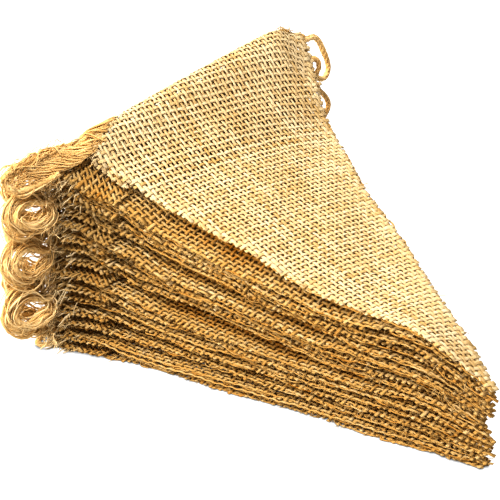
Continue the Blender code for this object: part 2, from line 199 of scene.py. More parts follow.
# The loose ends' routes: steps from the heading's end in X, out to the left, and Z
TAIL_TOP = (
    (0.0, 4.0, 0.2), (-1.0, 12.0, 0.3), (-2.0, 23.0, -0.8), (-1.5, 33.0, -3.0), (0.0, 39.5, -6.2),
    (2.0, 38.0, -10.8), (3.5, 32.0, -12.2), (4.5, 23.0, -11.2), (6.0, 14.0, -8.3),
)
TAIL_BOTTOM = (
    (-0.6, 3.2, -0.2), (-3.8, 5.8, -0.9), (-8.6, 4.9, -1.5), (-11.8, 0.0, -1.5),
    (-12.6, -9.0, -1.5), (-12.0, -20.0, -1.5), (-12.8, -31.0, -1.5),
)
COLUMNS_ACROSS = (-1.0, -0.78, -0.42, 0.0, 0.42, 0.78, 1.0)


def smoothstep(start: float, end: float, x: np.ndarray) -> np.ndarray:
    """0 before start, 1 after end, and 3t^2 - 2t^3 between them.

    Args:
        start: Where the step begins.
        end: Where it ends.
        x: The places to work it out at.

    Returns:
        The step's value at each place.
    """
    t = np.clip((np.asarray(x, dtype=float) - start) / (end - start), 0.0, 1.0)
    return t * t * (3.0 - 2.0 * t)


def smooth_curve(stations: np.ndarray, values: np.ndarray, x: np.ndarray) -> np.ndarray:
    """A cubic through each pair of values, whose slope at a station is the mean of both sides.

    Args:
        stations: Where the values are given, in rising order.
        values: The values there.
        x: The places to read the curve at; past the ends it stays level.

    Returns:
        The curve's value at each place.
    """
    x = np.clip(x, stations[0], stations[-1])
    piece = np.clip(np.searchsorted(stations, x, side="right") - 1, 0, len(stations) - 2)
    width = np.diff(stations)
    slope = np.diff(values) / width
    tangent = np.concatenate([slope[:1], (slope[:-1] + slope[1:]) / 2, slope[-1:]])
    h = width[piece]
    t = (x - stations[piece]) / h
    start = (2 * t**3 - 3 * t**2 + 1) * values[piece] + (t**3 - 2 * t**2 + t) * h * tangent[piece]
    end = (3 * t**2 - 2 * t**3) * values[piece + 1] + (t**3 - t**2) * h * tangent[piece + 1]
    return start + end


def unit(vectors: np.ndarray) -> np.ndarray:
    """Vectors scaled to length 1 along the last axis."""
    return vectors / np.maximum(np.linalg.norm(vectors, axis=-1, keepdims=True), 1e-12)


def lengths_along(path: np.ndarray) -> np.ndarray:
    """The distance along a line of points at each of them, from 0."""
    steps = np.linalg.norm(np.diff(path, axis=0), axis=1)
    return np.concatenate([[0.0], np.cumsum(steps)])


def half_width(x: np.ndarray) -> np.ndarray:
    """Half a pennant's width: a straight taper plus a flare that dies away as exp(-(x/30)^2).

    Args:
        x: Distance from the fold line.

    Returns:
        The half width at each place.
    """
    x = np.clip(x, 0.0, PENNANT_LENGTH)
    straight = TIP_HALF + (HEADING_HALF - FLARE - TIP_HALF) * (1.0 - x / PENNANT_LENGTH)
    return straight + FLARE * np.exp(-((x / FLARE_LENGTH) ** 2))


def stack_top(x: np.ndarray, y: np.ndarray) -> np.ndarray:
    """Height under the upper pennant.

    The left and right side heights are blended straight across, with a crown of 1 - q^2 between
    them and a drop at the headings' right ends. Under the headings x is held at a soft limit.

    Args:
        x: Distance from the headings' fold line.
        y: Place along the headings.

    Returns:
        The height at each place.
    """
    past = np.asarray(x, dtype=float) - HEADINGS_LEVEL_TO
    x_soft = HEADINGS_LEVEL_TO + 0.5 * (past + np.sqrt(past**2 + LEVEL_SOFTNESS**2))
    left = smooth_curve(STACK_X, STACK_LEFT, x_soft)
    right = smooth_curve(STACK_X, STACK_RIGHT, x_soft)
    crown = smooth_curve(STACK_X, STACK_CROWN, x_soft)
    across = np.clip(y / half_width(x), -WIDEST, WIDEST)
    at_corner = smoothstep(CORNER_FROM, 1.0, across) * (1.0 - smoothstep(*CORNER_FADES, x_soft))
    level = left + (right - left) * (1.0 + across) / 2 + crown * (1.0 - across**2)
    return level - CORNER_DROP * at_corner


@dataclass(frozen=True)
class PennantShape:
    """The surface of one pennant's cloth, from its tip over the twine to its hem.

    A place on the flat cloth is (s, t): s runs from the fold line to the tip, and below 0 round
    the roll of the heading and back along the hem; t runs across, to the right.
    """

    layer: int

    @property
    def row(self) -> Layer:
        """This pennant's row in the table of layers."""
        return LAYERS[self.layer]

    @property
    def flatter(self) -> float:
        """How much more it covers in plan than the upper pennant.

        It is sqrt(c^2 - (c^2 - p^2) k^2) / p for cut length c, the upper pennant's length in
        plan p and this layer's share k.

        Returns:
            The ratio, 1 for the upper pennant.
        """
        slope = self.layer / (PENNANTS - 1)
        fallen = (CUT_LENGTH**2 - PENNANT_LENGTH**2) * slope**2
        return float(np.sqrt(CUT_LENGTH**2 - fallen) / PENNANT_LENGTH)

    @property
    def hem_on_top(self) -> bool:
        """Whether the hem lies on the cloth, as on every other pennant."""
        return self.layer % 2 == 0

    def share_below(self, x: np.ndarray, y: np.ndarray) -> np.ndarray:
        """The part of the stack's height below this pennant, from the sums of the gaps.

        Args:
            x: Distance from the fold line.
            y: Place along the headings.

        Returns:
            A share from 0 to 1, even in the headings and uneven at the sides and the tips.
        """
        side_gap = np.array([row.side_gap for row in LAYERS])
        tip_gap = np.array([row.tip_gap for row in LAYERS])
        even = self.layer / (PENNANTS - 1)
        at_side = side_gap[: self.layer + 1].sum() / side_gap.sum()
        at_tip = tip_gap[: self.layer + 1].sum() / tip_gap.sum()
        side = smoothstep(*SIDE_DROOP, np.abs(y) / half_width(x))
        middle = even + (at_side - even) * side
        free = middle + (at_tip - middle) * smoothstep(*TIP_GRIP, x)
        return free + (even - free) * (1.0 - smoothstep(*HEADING_GRIP, x))

    def rest_height(self, x: np.ndarray, y: np.ndarray) -> np.ndarray:
        """Height of the pennant's underside: its share of the stack plus its own low waves.

        Args:
            x: Distance from the fold line.
            y: Place along the headings.

        Returns:
            The height at each place.
        """
        calm = RIPPLE_CALMS * smoothstep(*RIPPLE_FADES, x)
        grows = smoothstep(*RIPPLE_STEADY, x) * (1.0 - calm)
        turn = 2 * np.pi / RIPPLE_LENGTH
        wave = np.sin(turn * (x + RIPPLE_SLANT * y) + RIPPLE_PHASES[0] * self.layer)
        wave = wave * np.cos(RIPPLE_ACROSS * turn * y + RIPPLE_PHASES[1] * self.layer)
        return self.share_below(x, y) * stack_top(x, y) + self.row.ripple * grows * wave

    def steepness(self, x: np.ndarray, y: np.ndarray) -> np.ndarray:
        """Length of a plumb line through the sloping sheet for each millimetre of thickness.

        Args:
            x: Distance from the fold line.
            y: Place along the headings.

        Returns:
            sqrt(1 + (dz/dx)^2 + (dz/dy)^2) at each place.
        """
        step = SLOPE_STEP
        along = self.rest_height(x + step, y) - self.rest_height(x - step, y)
        across = self.rest_height(x, y + step) - self.rest_height(x, y - step)
        return np.sqrt(1.0 + (along / (2 * step)) ** 2 + (across / (2 * step)) ** 2)

    def lay(self, along: np.ndarray, across: np.ndarray) -> tuple[np.ndarray, np.ndarray]:
        """Spread the pennant from its tip as flat as it lies, turn it by its swing and slide it.

        Args:
            along: Distance from the fold line on the pennant itself.
            across: Distance from its middle line.

        Returns:
            X and Y in the stack.
        """
        angle = self.row.swing / PENNANT_LENGTH
        stretch = np.where(along > 0.0, 1.0 + self.row.longer / PENNANT_LENGTH, 1.0)
        from_tip = (along * stretch - PENNANT_LENGTH) * self.flatter
        across = across * self.flatter
        x = PENNANT_LENGTH + from_tip * np.cos(angle) - across * np.sin(angle) + self.row.slide
        y = from_tip * np.sin(angle) + across * np.cos(angle)
        return x, y

    def side(self, s: np.ndarray, t: np.ndarray) -> np.ndarray:
        """How far out the cut side lies on t's side of the cloth.

        It is the half width plus a slow wander, and on the left also the drawn-out corner, which
        dies away as exp(-(x/20)^2).

        Args:
            s: Place from the fold line on the flat cloth.
            t: Place across it, of which only the sign counts.

        Returns:
            The distance from the middle line.
        """
        along = np.where(s < -ROLL_ARC, -(s + ROLL_ARC), np.maximum(s, 0.0))
        hem = (s < -ROLL_ARC).astype(float)
        wander = EDGE_WAVE * np.sin(along / EDGE_WAVE_LENGTH + EDGE_WAVE_PHASE * self.layer)
        wander = wander * smoothstep(*EDGE_WAVE_GROWS, along)
        corner = self.row.corner * np.exp(-((along / CORNER_LENGTH) ** 2)) * (t < 0.0)
        wide = half_width(along)
        return wide + HEM_SHOWS * hem + wander * (wide > EDGE_WAVE_WIDTH) + corner

    def profile(self, s: np.ndarray) -> tuple[np.ndarray, np.ndarray]:
        """The cloth's middle line in section: flat body, half circle round the twine, hem.

        Args:
            s: Place on the flat cloth from the fold line.

        Returns:
            The place along X and the height above the underside.
        """
        over_twine = ROLL_CENTRE + ROLL_RADIUS
        hem_along = -(s + ROLL_ARC)
        turn = np.clip(-s, 0.0, ROLL_ARC) / ROLL_RADIUS
        sign = -1.0 if self.hem_on_top else 1.0
        roll_z = ROLL_CENTRE + sign * ROLL_RADIUS * np.cos(turn)
        upper_from = np.where(s >= 0.0, s, hem_along)
        upper = over_twine + (HEM_MIDDLE - over_twine) * smoothstep(*UPPER_SETTLES, upper_from)
        settles = smoothstep(HEM_DEPTH, HEM_DEPTH + PAST_HEM, s)
        if self.hem_on_top:
            body_z = np.full_like(s, CLOTH / 2)
            hem_z = upper
        else:
            body_z = upper + (CLOTH / 2 - HEM_MIDDLE) * settles
            hem_z = np.full_like(s, CLOTH / 2)
        on_roll = (s < 0.0) & (s > -ROLL_ARC)
        along = np.where(s >= 0.0, s, np.where(on_roll, -ROLL_RADIUS * np.sin(turn), hem_along))
        height = np.where(s >= 0.0, body_z, np.where(on_roll, roll_z, hem_z))
        return along, height

    def middle(self, s: np.ndarray, t: np.ndarray) -> np.ndarray:
        """Points on the middle of the laid cloth for places on the flat cloth.

        Args:
            s: Place from the fold line on the flat cloth.
            t: Place across it.

        Returns:
            The points.
        """
        along, height = self.profile(s)
        x, y = self.lay(along, t)
        z = self.rest_height(x, y) + height * self.steepness(x, y)
        return np.stack([x, y, z], axis=-1)

    def surface(self, s: np.ndarray, t: np.ndarray) -> tuple[np.ndarray, np.ndarray]:
        """Points on the laid cloth and its unit normals, from short steps along s and t.

        Args:
            s: Place from the fold line on the flat cloth.
            t: Place across it.

        Returns:
            The points and the normals, which point up on the body.
        """
        step = NORMAL_STEP
        down = self.middle(s + step, t) - self.middle(s - step, t)
        across = self.middle(s, t + step) - self.middle(s, t - step)
        return self.middle(s, t), unit(np.cross(down, across))

    def roll_middle(self, across: np.ndarray) -> np.ndarray:
        """Points along the middle of the heading's roll.

        Args:
            across: Places across the pennant.

        Returns:
            The points.
        """
        x, y = self.lay(np.zeros_like(across), across)
        z = self.rest_height(x, y) + ROLL_CENTRE * self.steepness(x, y)
        return np.stack([x, y, z], axis=1)

    def heading_end(self, end: int) -> tuple[np.ndarray, np.ndarray]:
        """The middle of the heading's open end and the direction out of it, which is the line
        between the last two columns of the solid.

        Args:
            end: -1 for the left end, 1 for the right end.

        Returns:
            The point and the unit direction.
        """
        q = np.array(COLUMNS_ACROSS)
        line = self.roll_middle((HEADING_HALF + self.row.corner * (q < 0.0)) * q)
        inner, outer = (line[1], line[0]) if end < 0 else (line[-2], line[-1])
        return outer, unit(outer - inner)


def plan_offset() -> np.ndarray:
    """Where the fold line's middle stands in the frame: the top heading's run is centred on it."""
    low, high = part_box(f"heading_twine_{PENNANTS:02d}")
    return np.array([(low.x + high.x) / 2, (low.y + high.y) / 2, 0.0]) / MM


OFFSET = plan_offset()


@dataclass(frozen=True)
class Wave:
    """A sine along a yarn: its height, and its turn in radians for each unit of length."""

    height: float
    turn: float

    def at(self, place: np.ndarray, phase: np.ndarray | float = 0.0) -> np.ndarray:
        """Its value at a place, height * sin(turn * place + phase)."""
        return self.height * np.sin(self.turn * place + phase)


def tube_object(name: str, rings: np.ndarray, run: np.ndarray, length: np.ndarray, tint: np.ndarray,
                material: bpy.types.Material) -> bpy.types.Object:
    """Write closed tubes as one mesh, with a face at each end of each tube.

    U goes once round a tube and V is the length along it, 1 to a centimetre.

    Args:
        name: The object's name.
        rings: The points in millimetres, station by place round the ring.
        run: The tube's number at each station; the stations of a tube stand together.
        length: The length along the tube at each station, in millimetres.
        tint: The shade at each station.
        material: The finish.

    Returns:
        The object, at the origin.
    """
    n = rings.shape[1]
    j = np.arange(n)
    after = (j + 1) % n
    goes_on = run[1:] == run[:-1]
    station = np.flatnonzero(goes_on)
    near = station[:, None] * n
    quads = np.stack([near + j, near + after, near + n + after, near + n + j], axis=-1)
    first = np.flatnonzero(np.concatenate([[True], ~goes_on]))
    last = np.concatenate([first[1:] - 1, [len(run) - 1]])
    caps = np.concatenate([first[:, None] * n + j[::-1], last[:, None] * n + j])
    corners = np.concatenate([quads.ravel(), caps.ravel()])
    starts = np.concatenate([np.arange(0, quads.size, 4), quads.size + n * np.arange(len(caps))])
    u = np.stack([j, j + 1, j + 1, j], axis=-1) / n
    v = np.stack([length[station], length[station], length[station + 1], length[station + 1]], axis=-1)
    uv = np.zeros((len(corners), 2))
    uv[: quads.size, 0] = np.tile(u.ravel(), len(station))
    uv[: quads.size, 1] = np.repeat(v / MM_IN_V, n, axis=0).ravel()
    mesh = bpy.data.meshes.new(name)
    mesh.vertices.add(len(run) * n)
    points = (rings.reshape(-1, 3) + OFFSET) * MM
    mesh.vertices.foreach_set("co", points.astype(np.float32).ravel())
    mesh.loops.add(len(corners))
    mesh.loops.foreach_set("vertex_index", corners.astype(np.int32))
    mesh.polygons.add(len(starts))
    mesh.polygons.foreach_set("loop_start", starts.astype(np.int32))
    mesh.update(calc_edges=True)
    mesh.uv_layers.new(name="UVMap").data.foreach_set("uv", uv.astype(np.float32).ravel())
    shades = mesh.attributes.new("tint", "FLOAT", "POINT")
    shades.data.foreach_set("value", np.repeat(tint, n).astype(np.float32))
    mesh.shade_smooth()
    mesh.materials.append(material)
    piece = bpy.data.objects.new(name, mesh)
    bpy.context.scene.collection.objects.link(piece)
    return piece


@dataclass
class TubeSet:
    """Many closed tubes with elliptical sections, kept station by station as whole arrays.

    run holds the tube's number at each station, and the stations of a tube stand together.
    """

    centre: np.ndarray
    side: np.ndarray
    up: np.ndarray
    half_wide: np.ndarray
    half_high: np.ndarray
    run: np.ndarray
    tint: np.ndarray
    sides: int

    def rings(self) -> np.ndarray:
        """Each station's ring: centre + side * w * cos(a) + up * h * sin(a).

        Returns:
            The points, station by place round the ring.
        """
        angle = 2 * np.pi * np.arange(self.sides) / self.sides
        wide = self.half_wide[:, None, None] * np.cos(angle)[None, :, None]
        high = self.half_high[:, None, None] * np.sin(angle)[None, :, None]
        return self.centre[:, None] + self.side[:, None] * wide + self.up[:, None] * high

    def lengths(self) -> np.ndarray:
        """The length along the tubes at each station, counted on from one tube to the next.

        Returns:
            The lengths in millimetres.
        """
        steps = np.linalg.norm(np.diff(self.centre, axis=0), axis=1)
        steps = steps * (self.run[1:] == self.run[:-1])
        return np.concatenate([[0.0], np.cumsum(steps)])

    def to_object(self, name: str, material: bpy.types.Material) -> bpy.types.Object:
        """The tubes as one piece with this name and finish."""
        return tube_object(name, self.rings(), self.run, self.lengths(), self.tint, material)


def tubes_on(grid: np.ndarray, radius: np.ndarray, tint: np.ndarray, sides: int) -> TubeSet:
    """Round tubes along a grid of points, one tube for each row.

    The side direction is the tube's direction crossed with a fixed vector that no tube follows
    for long, so rings stay lined up from one station to the next.

    Args:
        grid: The points, tube by station by coordinate.
        radius: The radius at each point.
        tint: One shade for each tube.
        sides: Sides of each tube.

    Returns:
        The tubes as one set.
    """
    count, stations = grid.shape[:2]
    along = unit(np.gradient(grid, axis=1)).reshape(-1, 3)
    steady = np.array([0.83, 0.19, 0.52])
    side = unit(np.cross(steady, along))
    up = unit(np.cross(along, side))
    run = np.repeat(np.arange(count), stations)
    size = radius.reshape(-1)
    return TubeSet(grid.reshape(-1, 3), side, up, size, size, run, tint[run], sides)


def joined(sets: list[TubeSet]) -> TubeSet:
    """Several sets of tubes with the same number of sides as one set.

    Args:
        sets: The sets, in order.

    Returns:
        All their tubes, numbered on from one set to the next.
    """
    first = np.cumsum([0] + [part.run[-1] + 1 for part in sets[:-1]])
    run = np.concatenate([part.run + start for part, start in zip(sets, first)])
    centre, side, up, half_wide, half_high, tint = (
        np.concatenate([getattr(part, kept) for part in sets])
        for kept in ("centre", "side", "up", "half_wide", "half_high", "tint")
    )
    return TubeSet(centre, side, up, half_wide, half_high, run, tint, sets[0].sides)


def directions(centre: np.ndarray, run: np.ndarray) -> np.ndarray:
    """Unit directions along tubes, from the steps to the neighbours on the same tube.

    Args:
        centre: The points of all tubes.
        run: Each point's tube.

    Returns:
        A unit direction for each point.
    """
    step = np.diff(centre, axis=0)
    same = (run[1:] == run[:-1])[:, None]
    total = np.zeros_like(centre)
    total[:-1] += step * same
    total[1:] += step * same
    return unit(total)


class Closeness(Enum):
    """How closely a pennant's yarns are made, by what shows of it."""

    FINE = "fine"
    EDGED = "edged"


@dataclass(frozen=True)
class Weave:
    """The plain weave of one pennant, as a lattice of crossings on the flat cloth.

    Warp yarn i and weft yarn j cross at start + i * weft_step + j * warp_step. A warp yarn
    stands above the middle by rise * cos(pi j) * (-1)^i, and a weft yarn below it by as much.
    """

    start: np.ndarray
    weft_step: np.ndarray
    warp_step: np.ndarray
    warp_wide: float = 1.52
    weft_wide: float = 1.60
    high: float = 0.48
    rise: float = 0.34


# The steps between crossings counted on the top pennant, and how far the others' lattices are
# turned and skewed, in radians
WEFT_STEP = np.array([-0.41, -2.19])
WARP_STEP = np.array([2.60, 0.25])
WEFT_SPACING = 2.2
CROSSINGS_APART = 2.4
TURNED = (0.13, 0.25)
SKEWED = (-0.06, 0.06)

# How the yarns wander from their lines, swell and change in tone along them, and how the whole
# cloth is drawn out of square
WOBBLE = (Wave(0.15, 0.61), Wave(0.11, 1.37))
SLUBS = (Wave(0.10, 0.83), Wave(0.06, 2.3))
TONE = Wave(0.07, 0.37)
BOW = Wave(0.35, 1 / 13.0)
BOW_LENGTH = 29.0
DRIFT = Wave(0.30, 1 / 17.0)


def weave_of(layer: int, random: np.random.Generator) -> Weave:
    """The lattice of one pennant: the top one as counted, the others turned and shifted a little.

    Args:
        layer: The pennant's number from the bottom.
        random: The seeded source of the small differences.

    Returns:
        The weave.
    """
    shift = random.uniform(-1.0, 1.0, 2)
    turn = random.uniform(*TURNED)
    skew = random.uniform(*SKEWED)
    if layer == PENNANTS - 1:
        turn = 0.0
        skew = 0.0
    spin = np.array([[np.cos(turn), -np.sin(turn)], [np.sin(turn), np.cos(turn)]])
    return Weave(shift, spin @ WEFT_STEP + np.array([skew * WEFT_SPACING, 0.0]), spin @ WARP_STEP)


@dataclass
class BurlapPennant:
    """One pennant woven from single yarns, its cut sides ragged with yarn ends.

    Depths are distances in from the cut side. The yarns show down to shown_depth, and on the
    heading from past_roll beyond its roll to past_fold beyond the fold line. The top pennant is
    FINE, with a ring at each half crossing. An EDGED one has a ring at each crossing that shows,
    and few where it's hidden.
    """

    layer: int
    closeness: Closeness
    seed: int = 41
    shown_depth: float = 14.0
    past_roll: float = 4.0
    past_fold: float = 7.0
    hidden_step: int = 6
    fine_sides: int = 6
    edged_sides: int = 4
    fine_step: float = 0.1
    least_inside: int = 12
    end_clear: float = 0.6
    side_bare: float = 0.4
    ragged: tuple[float, float] = (-0.4, 1.1)
    end_droops: float = 0.9
    droops_over: tuple[float, float] = (0.0, 1.2)
    spread: float = 0.3
    spread_over: tuple[float, float] = (0.5, 8.0)
    right_closes: float = 0.1
    closes_over: tuple[float, float] = (6.0, 22.0)
    thick_varies: float = 0.07
    shade: float = 0.5
    # The top pennant's mean tint, paler than the other pennants': painted light for its lit top.
    top_painted_light: float = 0.77
    shade_varies: float = 0.075
    # How much a yarn is paler where it passes over and darker where it dips under: painted highlight and
    # painted shade.
    crossing_painted_shade: float = 0.08
    # The next three darken the yarns towards the dark tone deeper in from the cut side and farther from
    # the fold line: painted shade in the gap under the pennant above.
    painted_shade: float = 0.3
    painted_shade_depth: tuple[float, float] = (2.5, 11.0)
    painted_shade_from: tuple[float, float] = (25.0, 70.0)

    def __post_init__(self) -> None:
        """Set up the shape, the random source and the weave."""
        self.shape = PennantShape(self.layer)
        self.random = np.random.default_rng(self.seed + self.layer)
        self.weave = weave_of(self.layer, self.random)
        self.is_fine = self.closeness is Closeness.FINE

    def flat_place(self, number: np.ndarray, place: np.ndarray, step: np.ndarray,
                   run: np.ndarray) -> tuple[np.ndarray, np.ndarray]:
        """The place on the flat cloth of lattice point start + number * step + place * run.

        Args:
            number: The yarn's lattice number.
            place: The place along it in crossings.
            step: From one yarn to the next.
            run: From one crossing to the next along a yarn.

        Returns:
            The place from the fold line and the place across.
        """
        s, t = (self.weave.start[k] + number * step[k] + place * run[k] for k in range(2))
        return s, t

    def shown(self, s: np.ndarray, t: np.ndarray) -> np.ndarray:
        """Whether a place can be seen: near a side, or on the roll of the heading.

        Args:
            s: Place from the fold line on the flat cloth.
            t: Place across it.

        Returns:
            True where it can be seen.
        """
        near_side = self.shape.side(s, t) - np.abs(t) < self.shown_depth
        on_roll = (s > -ROLL_ARC - self.past_roll) & (s < self.past_fold)
        return near_side | on_roll

    def stations(self, step: np.ndarray, run: np.ndarray,
                 bare: float) -> tuple[np.ndarray, np.ndarray, np.ndarray]:
        """The rings of all yarns of one direction.

        A yarn has a ring at every half crossing between the places where it enters and leaves
        the cut cloth, thinned out where it doesn't show, and one more at each ragged end.

        Args:
            step: From one yarn to the next.
            run: From one crossing to the next along a yarn.
            bare: How far short of the cut sides these yarns stop.

        Returns:
            The yarn's lattice number, the place along it in crossings and its own number from 0,
            for each ring.
        """
        low = np.array([-ROLL_ARC - HEM_DEPTH, -HEADING_HALF - HEM_SHOWS - self.shape.row.corner])
        high = np.array([PENNANT_LENGTH, HEADING_HALF + HEM_SHOWS])
        corners = np.array([low, [low[0], high[1]], [high[0], low[1]], high])
        lattice = np.linalg.solve(np.stack([step, run], axis=1), (corners - self.weave.start).T)
        lowest, highest = np.floor(lattice.min(axis=1)), np.ceil(lattice.max(axis=1)) + 1
        number = np.arange(lowest[0], highest[0])
        fine = np.arange(lowest[1], highest[1], self.fine_step)
        s, t = self.flat_place(number[:, None], fine[None], step, run)
        inside = (s > low[0]) & (s < high[0]) & (np.abs(t) < self.shape.side(s, t) - bare)
        kept = inside.sum(axis=1) > self.least_inside
        number, inside = number[kept], inside[kept]
        first = fine[inside.argmax(axis=1)]
        last = fine[inside.shape[1] - 1 - inside[:, ::-1].argmax(axis=1)]
        ends = self.random.uniform(*self.ragged, (2, len(number))) / np.linalg.norm(run)
        half = np.arange(np.floor(first.min()) * 2, np.ceil(last.max()) * 2 + 1) / 2
        place = np.broadcast_to(half, (len(number), len(half)))
        s, t = self.flat_place(number[:, None], place, step, run)
        whole = place == np.round(place)
        if self.is_fine:
            wanted = (s > -ROLL_ARC - self.past_roll) | whole
        else:
            wanted = np.where(self.shown(s, t), whole, place % self.hidden_step == 0)
        clear = self.end_clear
        wanted &= (place > first[:, None] + clear) & (place < last[:, None] - clear)
        always = np.ones((len(number), 1), dtype=bool)
        place = np.concatenate([(first - ends[0])[:, None], place, (last + ends[1])[:, None]], axis=1)
        wanted = np.concatenate([always, wanted, always], axis=1)
        yarn = np.broadcast_to(np.arange(len(number))[:, None], place.shape)
        return number[yarn[wanted]], place[wanted], yarn[wanted]

    def yarns(self, is_warp: bool, sides: int) -> TubeSet:
        """All yarns of one direction, wandering a little, thick and thin, over and under.

        Args:
            is_warp: True for the yarns that run along the pennant.
            sides: Sides of each yarn.

        Returns:
            The yarns as tubes on the laid cloth.
        """
        weave = self.weave
        step, run, bare, yarn_wide, sign = (
            (weave.weft_step, weave.warp_step, self.side_bare, weave.warp_wide, 1.0) if is_warp
            else (weave.warp_step, weave.weft_step, 0.0, weave.weft_wide, -1.0)
        )
        number, place, yarn = self.stations(step, run, bare)
        count = yarn[-1] + 1
        phase = self.random.uniform(0, 2 * np.pi, (3, count))[:, yarn]
        wobble = WOBBLE[0].at(place, phase[0]) + WOBBLE[1].at(place, phase[1])
        s, t = self.flat_place(number + wobble / CROSSINGS_APART, place, step, run)
        s = s + BOW.at(t, self.layer) * np.sin(s / BOW_LENGTH)
        t = t + DRIFT.at(s, 2.0 * self.layer)
        point, normal = self.shape.surface(s, t)
        wave = sign * np.cos(np.pi * place) * (1 - 2 * (np.abs(number) % 2))
        depth = self.shape.side(s, t) - np.abs(t)
        if not self.is_fine:
            wave = np.where(self.shown(s, t), wave, sign)
        falls = self.end_droops if self.layer > 0 else 0.0
        droop = falls * self.random.random(count)[yarn] * smoothstep(*self.droops_over, -depth)
        centre = point + normal * (weave.rise * wave - droop)[:, None]
        along = directions(centre, yarn)
        thick = self.random.normal(1.0, self.thick_varies, count)[yarn]
        slub = 1.0 + SLUBS[0].at(place, phase[2]) + SLUBS[1].at(place, phase[0])
        loose = 1.0 + self.spread * (1.0 - smoothstep(*self.spread_over, depth))
        shade = self.random.normal(self.shade, self.shade_varies, count)[yarn]
        if self.is_fine:
            loose = loose + self.right_closes * (t > 0.0) * (1.0 - smoothstep(*self.closes_over, depth))
            # Painted light: the top pennant's yarns are made paler than the others'.
            shade = shade + self.top_painted_light - self.shade
        else:
            # Painted shade: the yarns darken with depth in from the cut side, where the pennant above
            # shades them.
            inner = smoothstep(*self.painted_shade_depth, depth) * smoothstep(*self.painted_shade_from, s)
            shade = shade - self.painted_shade * inner
        # Painted highlight where the yarn passes over a crossing and painted shade where it dips under.
        shade = shade + TONE.at(place, phase[1]) + self.crossing_painted_shade * wave
        wide = yarn_wide / 2 * thick * slub * loose
        high = np.full_like(wide, weave.high / 2)
        side = unit(np.cross(normal, along))
        up = unit(np.cross(along, side))
        return TubeSet(centre, side, up, wide, high, yarn, np.clip(shade, 0.0, 1.0), sides)

    def build(self, finish: bpy.types.Material) -> bpy.types.Object:
        """Weave the pennant and put it in the place of its solid.

        Args:
            finish: The burlap's material.

        Returns:
            The woven pennant.
        """
        sides = self.fine_sides if self.is_fine else self.edged_sides
        yarns = joined([self.yarns(True, sides), self.yarns(False, sides)])
        cloth = yarns.to_object(f"burlap_pennant_{self.layer + 1:02d}", finish)
        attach(cloth, BODY)
        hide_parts(f"pennant_{self.layer + 1:02d}")
        return cloth

    def declare(self) -> None:
        """Work out the flat cloth's width at even places from the hem to the tip; nothing is done with it.
        """
        s = np.linspace(-ROLL_ARC - HEM_DEPTH, PENNANT_LENGTH, AREA_POINTS)
        across = self.shape.side(s, -np.ones_like(s)) + self.shape.side(s, np.zeros_like(s))


def smooth_route(route: np.ndarray, spacing: float) -> np.ndarray:
    """Points at even steps along a smooth curve through a route's own points.

    Args:
        route: The route's points.
        spacing: The step between the points wanted.

    Returns:
        The points on the curve.
    """
    run = lengths_along(route)
    fine = np.linspace(0.0, run[-1], CURVE_POINTS)
    curve = np.stack([smooth_curve(run, route[:, k], fine) for k in range(3)], axis=1)
    length = lengths_along(curve)
    count = max(FEWEST_POINTS, int(round(length[-1] / spacing)) + 1)
    steps = np.linspace(0.0, length[-1], count)
    return np.stack([np.interp(steps, length, curve[:, k]) for k in range(3)], axis=1)


def loop_route(loop: Loop) -> np.ndarray:
    """The twine's route out of one heading, once or twice round and into the heading above.

    A point so far out, so high and so far aside stands at middle + out * outward + (height -
    droop * share^1.3) * up + (lean * share^0.45 + aside) * sideways, where share is out / reach.

    Args:
        loop: The loop's row.

    Returns:
        The route's points.
    """
    lower, low_out = PennantShape(loop.lower).heading_end(loop.end)
    upper, high_out = PennantShape(loop.lower + 1).heading_end(loop.end)
    middle = (lower + upper) / 2

    def place(out: float, height: float, aside: float) -> np.ndarray:
        """One point of the route.

        Args:
            out: How far out of the headings.
            height: The height above the middle, before the droop.
            aside: The shift sideways on top of the lean.

        Returns:
            The point in the stack's frame.
        """
        share = out / loop.reach
        sag = -loop.droop * share**SAG_POWER
        lean = loop.lean * share**LEAN_POWER + aside
        return middle + np.array([lean, loop.end * out, height + sag])

    def oval_end(inset: float, aside: float) -> list[np.ndarray]:
        """The far half of one turn, from its lower strand round to its upper one.

        Args:
            inset: How much smaller than the loop this turn is.
            aside: The shift sideways.

        Returns:
            Its points.
        """
        reach = loop.reach - inset
        belly = loop.belly - inset
        return [place(reach * out, belly * height, aside) for out, height in OVAL]

    apart = np.linalg.norm(upper - lower) / 2
    spread = SPREAD_AT * loop.reach
    opening = max(OPENING * loop.belly, apart)
    if loop.turns == 1:
        route = [place(CLOSE_OUT, -apart, 0.0), place(spread, -opening, 0.0)]
        route += [*oval_end(0.0, 0.0), place(spread, opening, 0.0), place(CLOSE_OUT, apart, 0.0)]
    else:
        aside = TURN_APART / 2
        bend = TURN_BACK * np.sqrt(0.5)
        shift = TURN_BACK - bend
        centre = TURN_BACK_FROM + TURN_BACK
        route = [place(LEAVES_BY, -apart, -aside), place(spread, -opening, -aside)]
        route += oval_end(0.0, -aside)
        route += [place(centre, TURN_BACK, -aside), place(TURN_BACK_FROM + shift, bend, -aside)]
        route += [place(TURN_BACK_FROM, 0.0, 0.0)]
        route += [place(TURN_BACK_FROM + shift, -bend, aside), place(centre, -TURN_BACK, aside)]
        route += oval_end(TURN_APART, aside)
        route += [place(spread, opening, aside), place(LEAVES_BY, apart, aside)]
    return np.array([
        lower - low_out * MOUTH_DEPTH, lower + low_out * STRAIGHT_OUT, *route,
        upper + high_out * STRAIGHT_OUT, upper - high_out * MOUTH_DEPTH,
    ])


def tail_route(layer: int, steps: tuple[tuple[float, float, float], ...]) -> np.ndarray:
    """The route of a loose end that leaves a heading's left end.

    Args:
        layer: The pennant that it leaves.
        steps: Points from the heading's end, in X, out to the left, and Z.

    Returns:
        The route's points.
    """
    start, outward = PennantShape(layer).heading_end(-1)
    mouth = start + outward * STRAIGHT_OUT
    free = mouth + np.array(steps) * np.array([1.0, -1.0, 1.0])
    return np.concatenate([[start - outward * MOUTH_DEPTH, mouth], free])


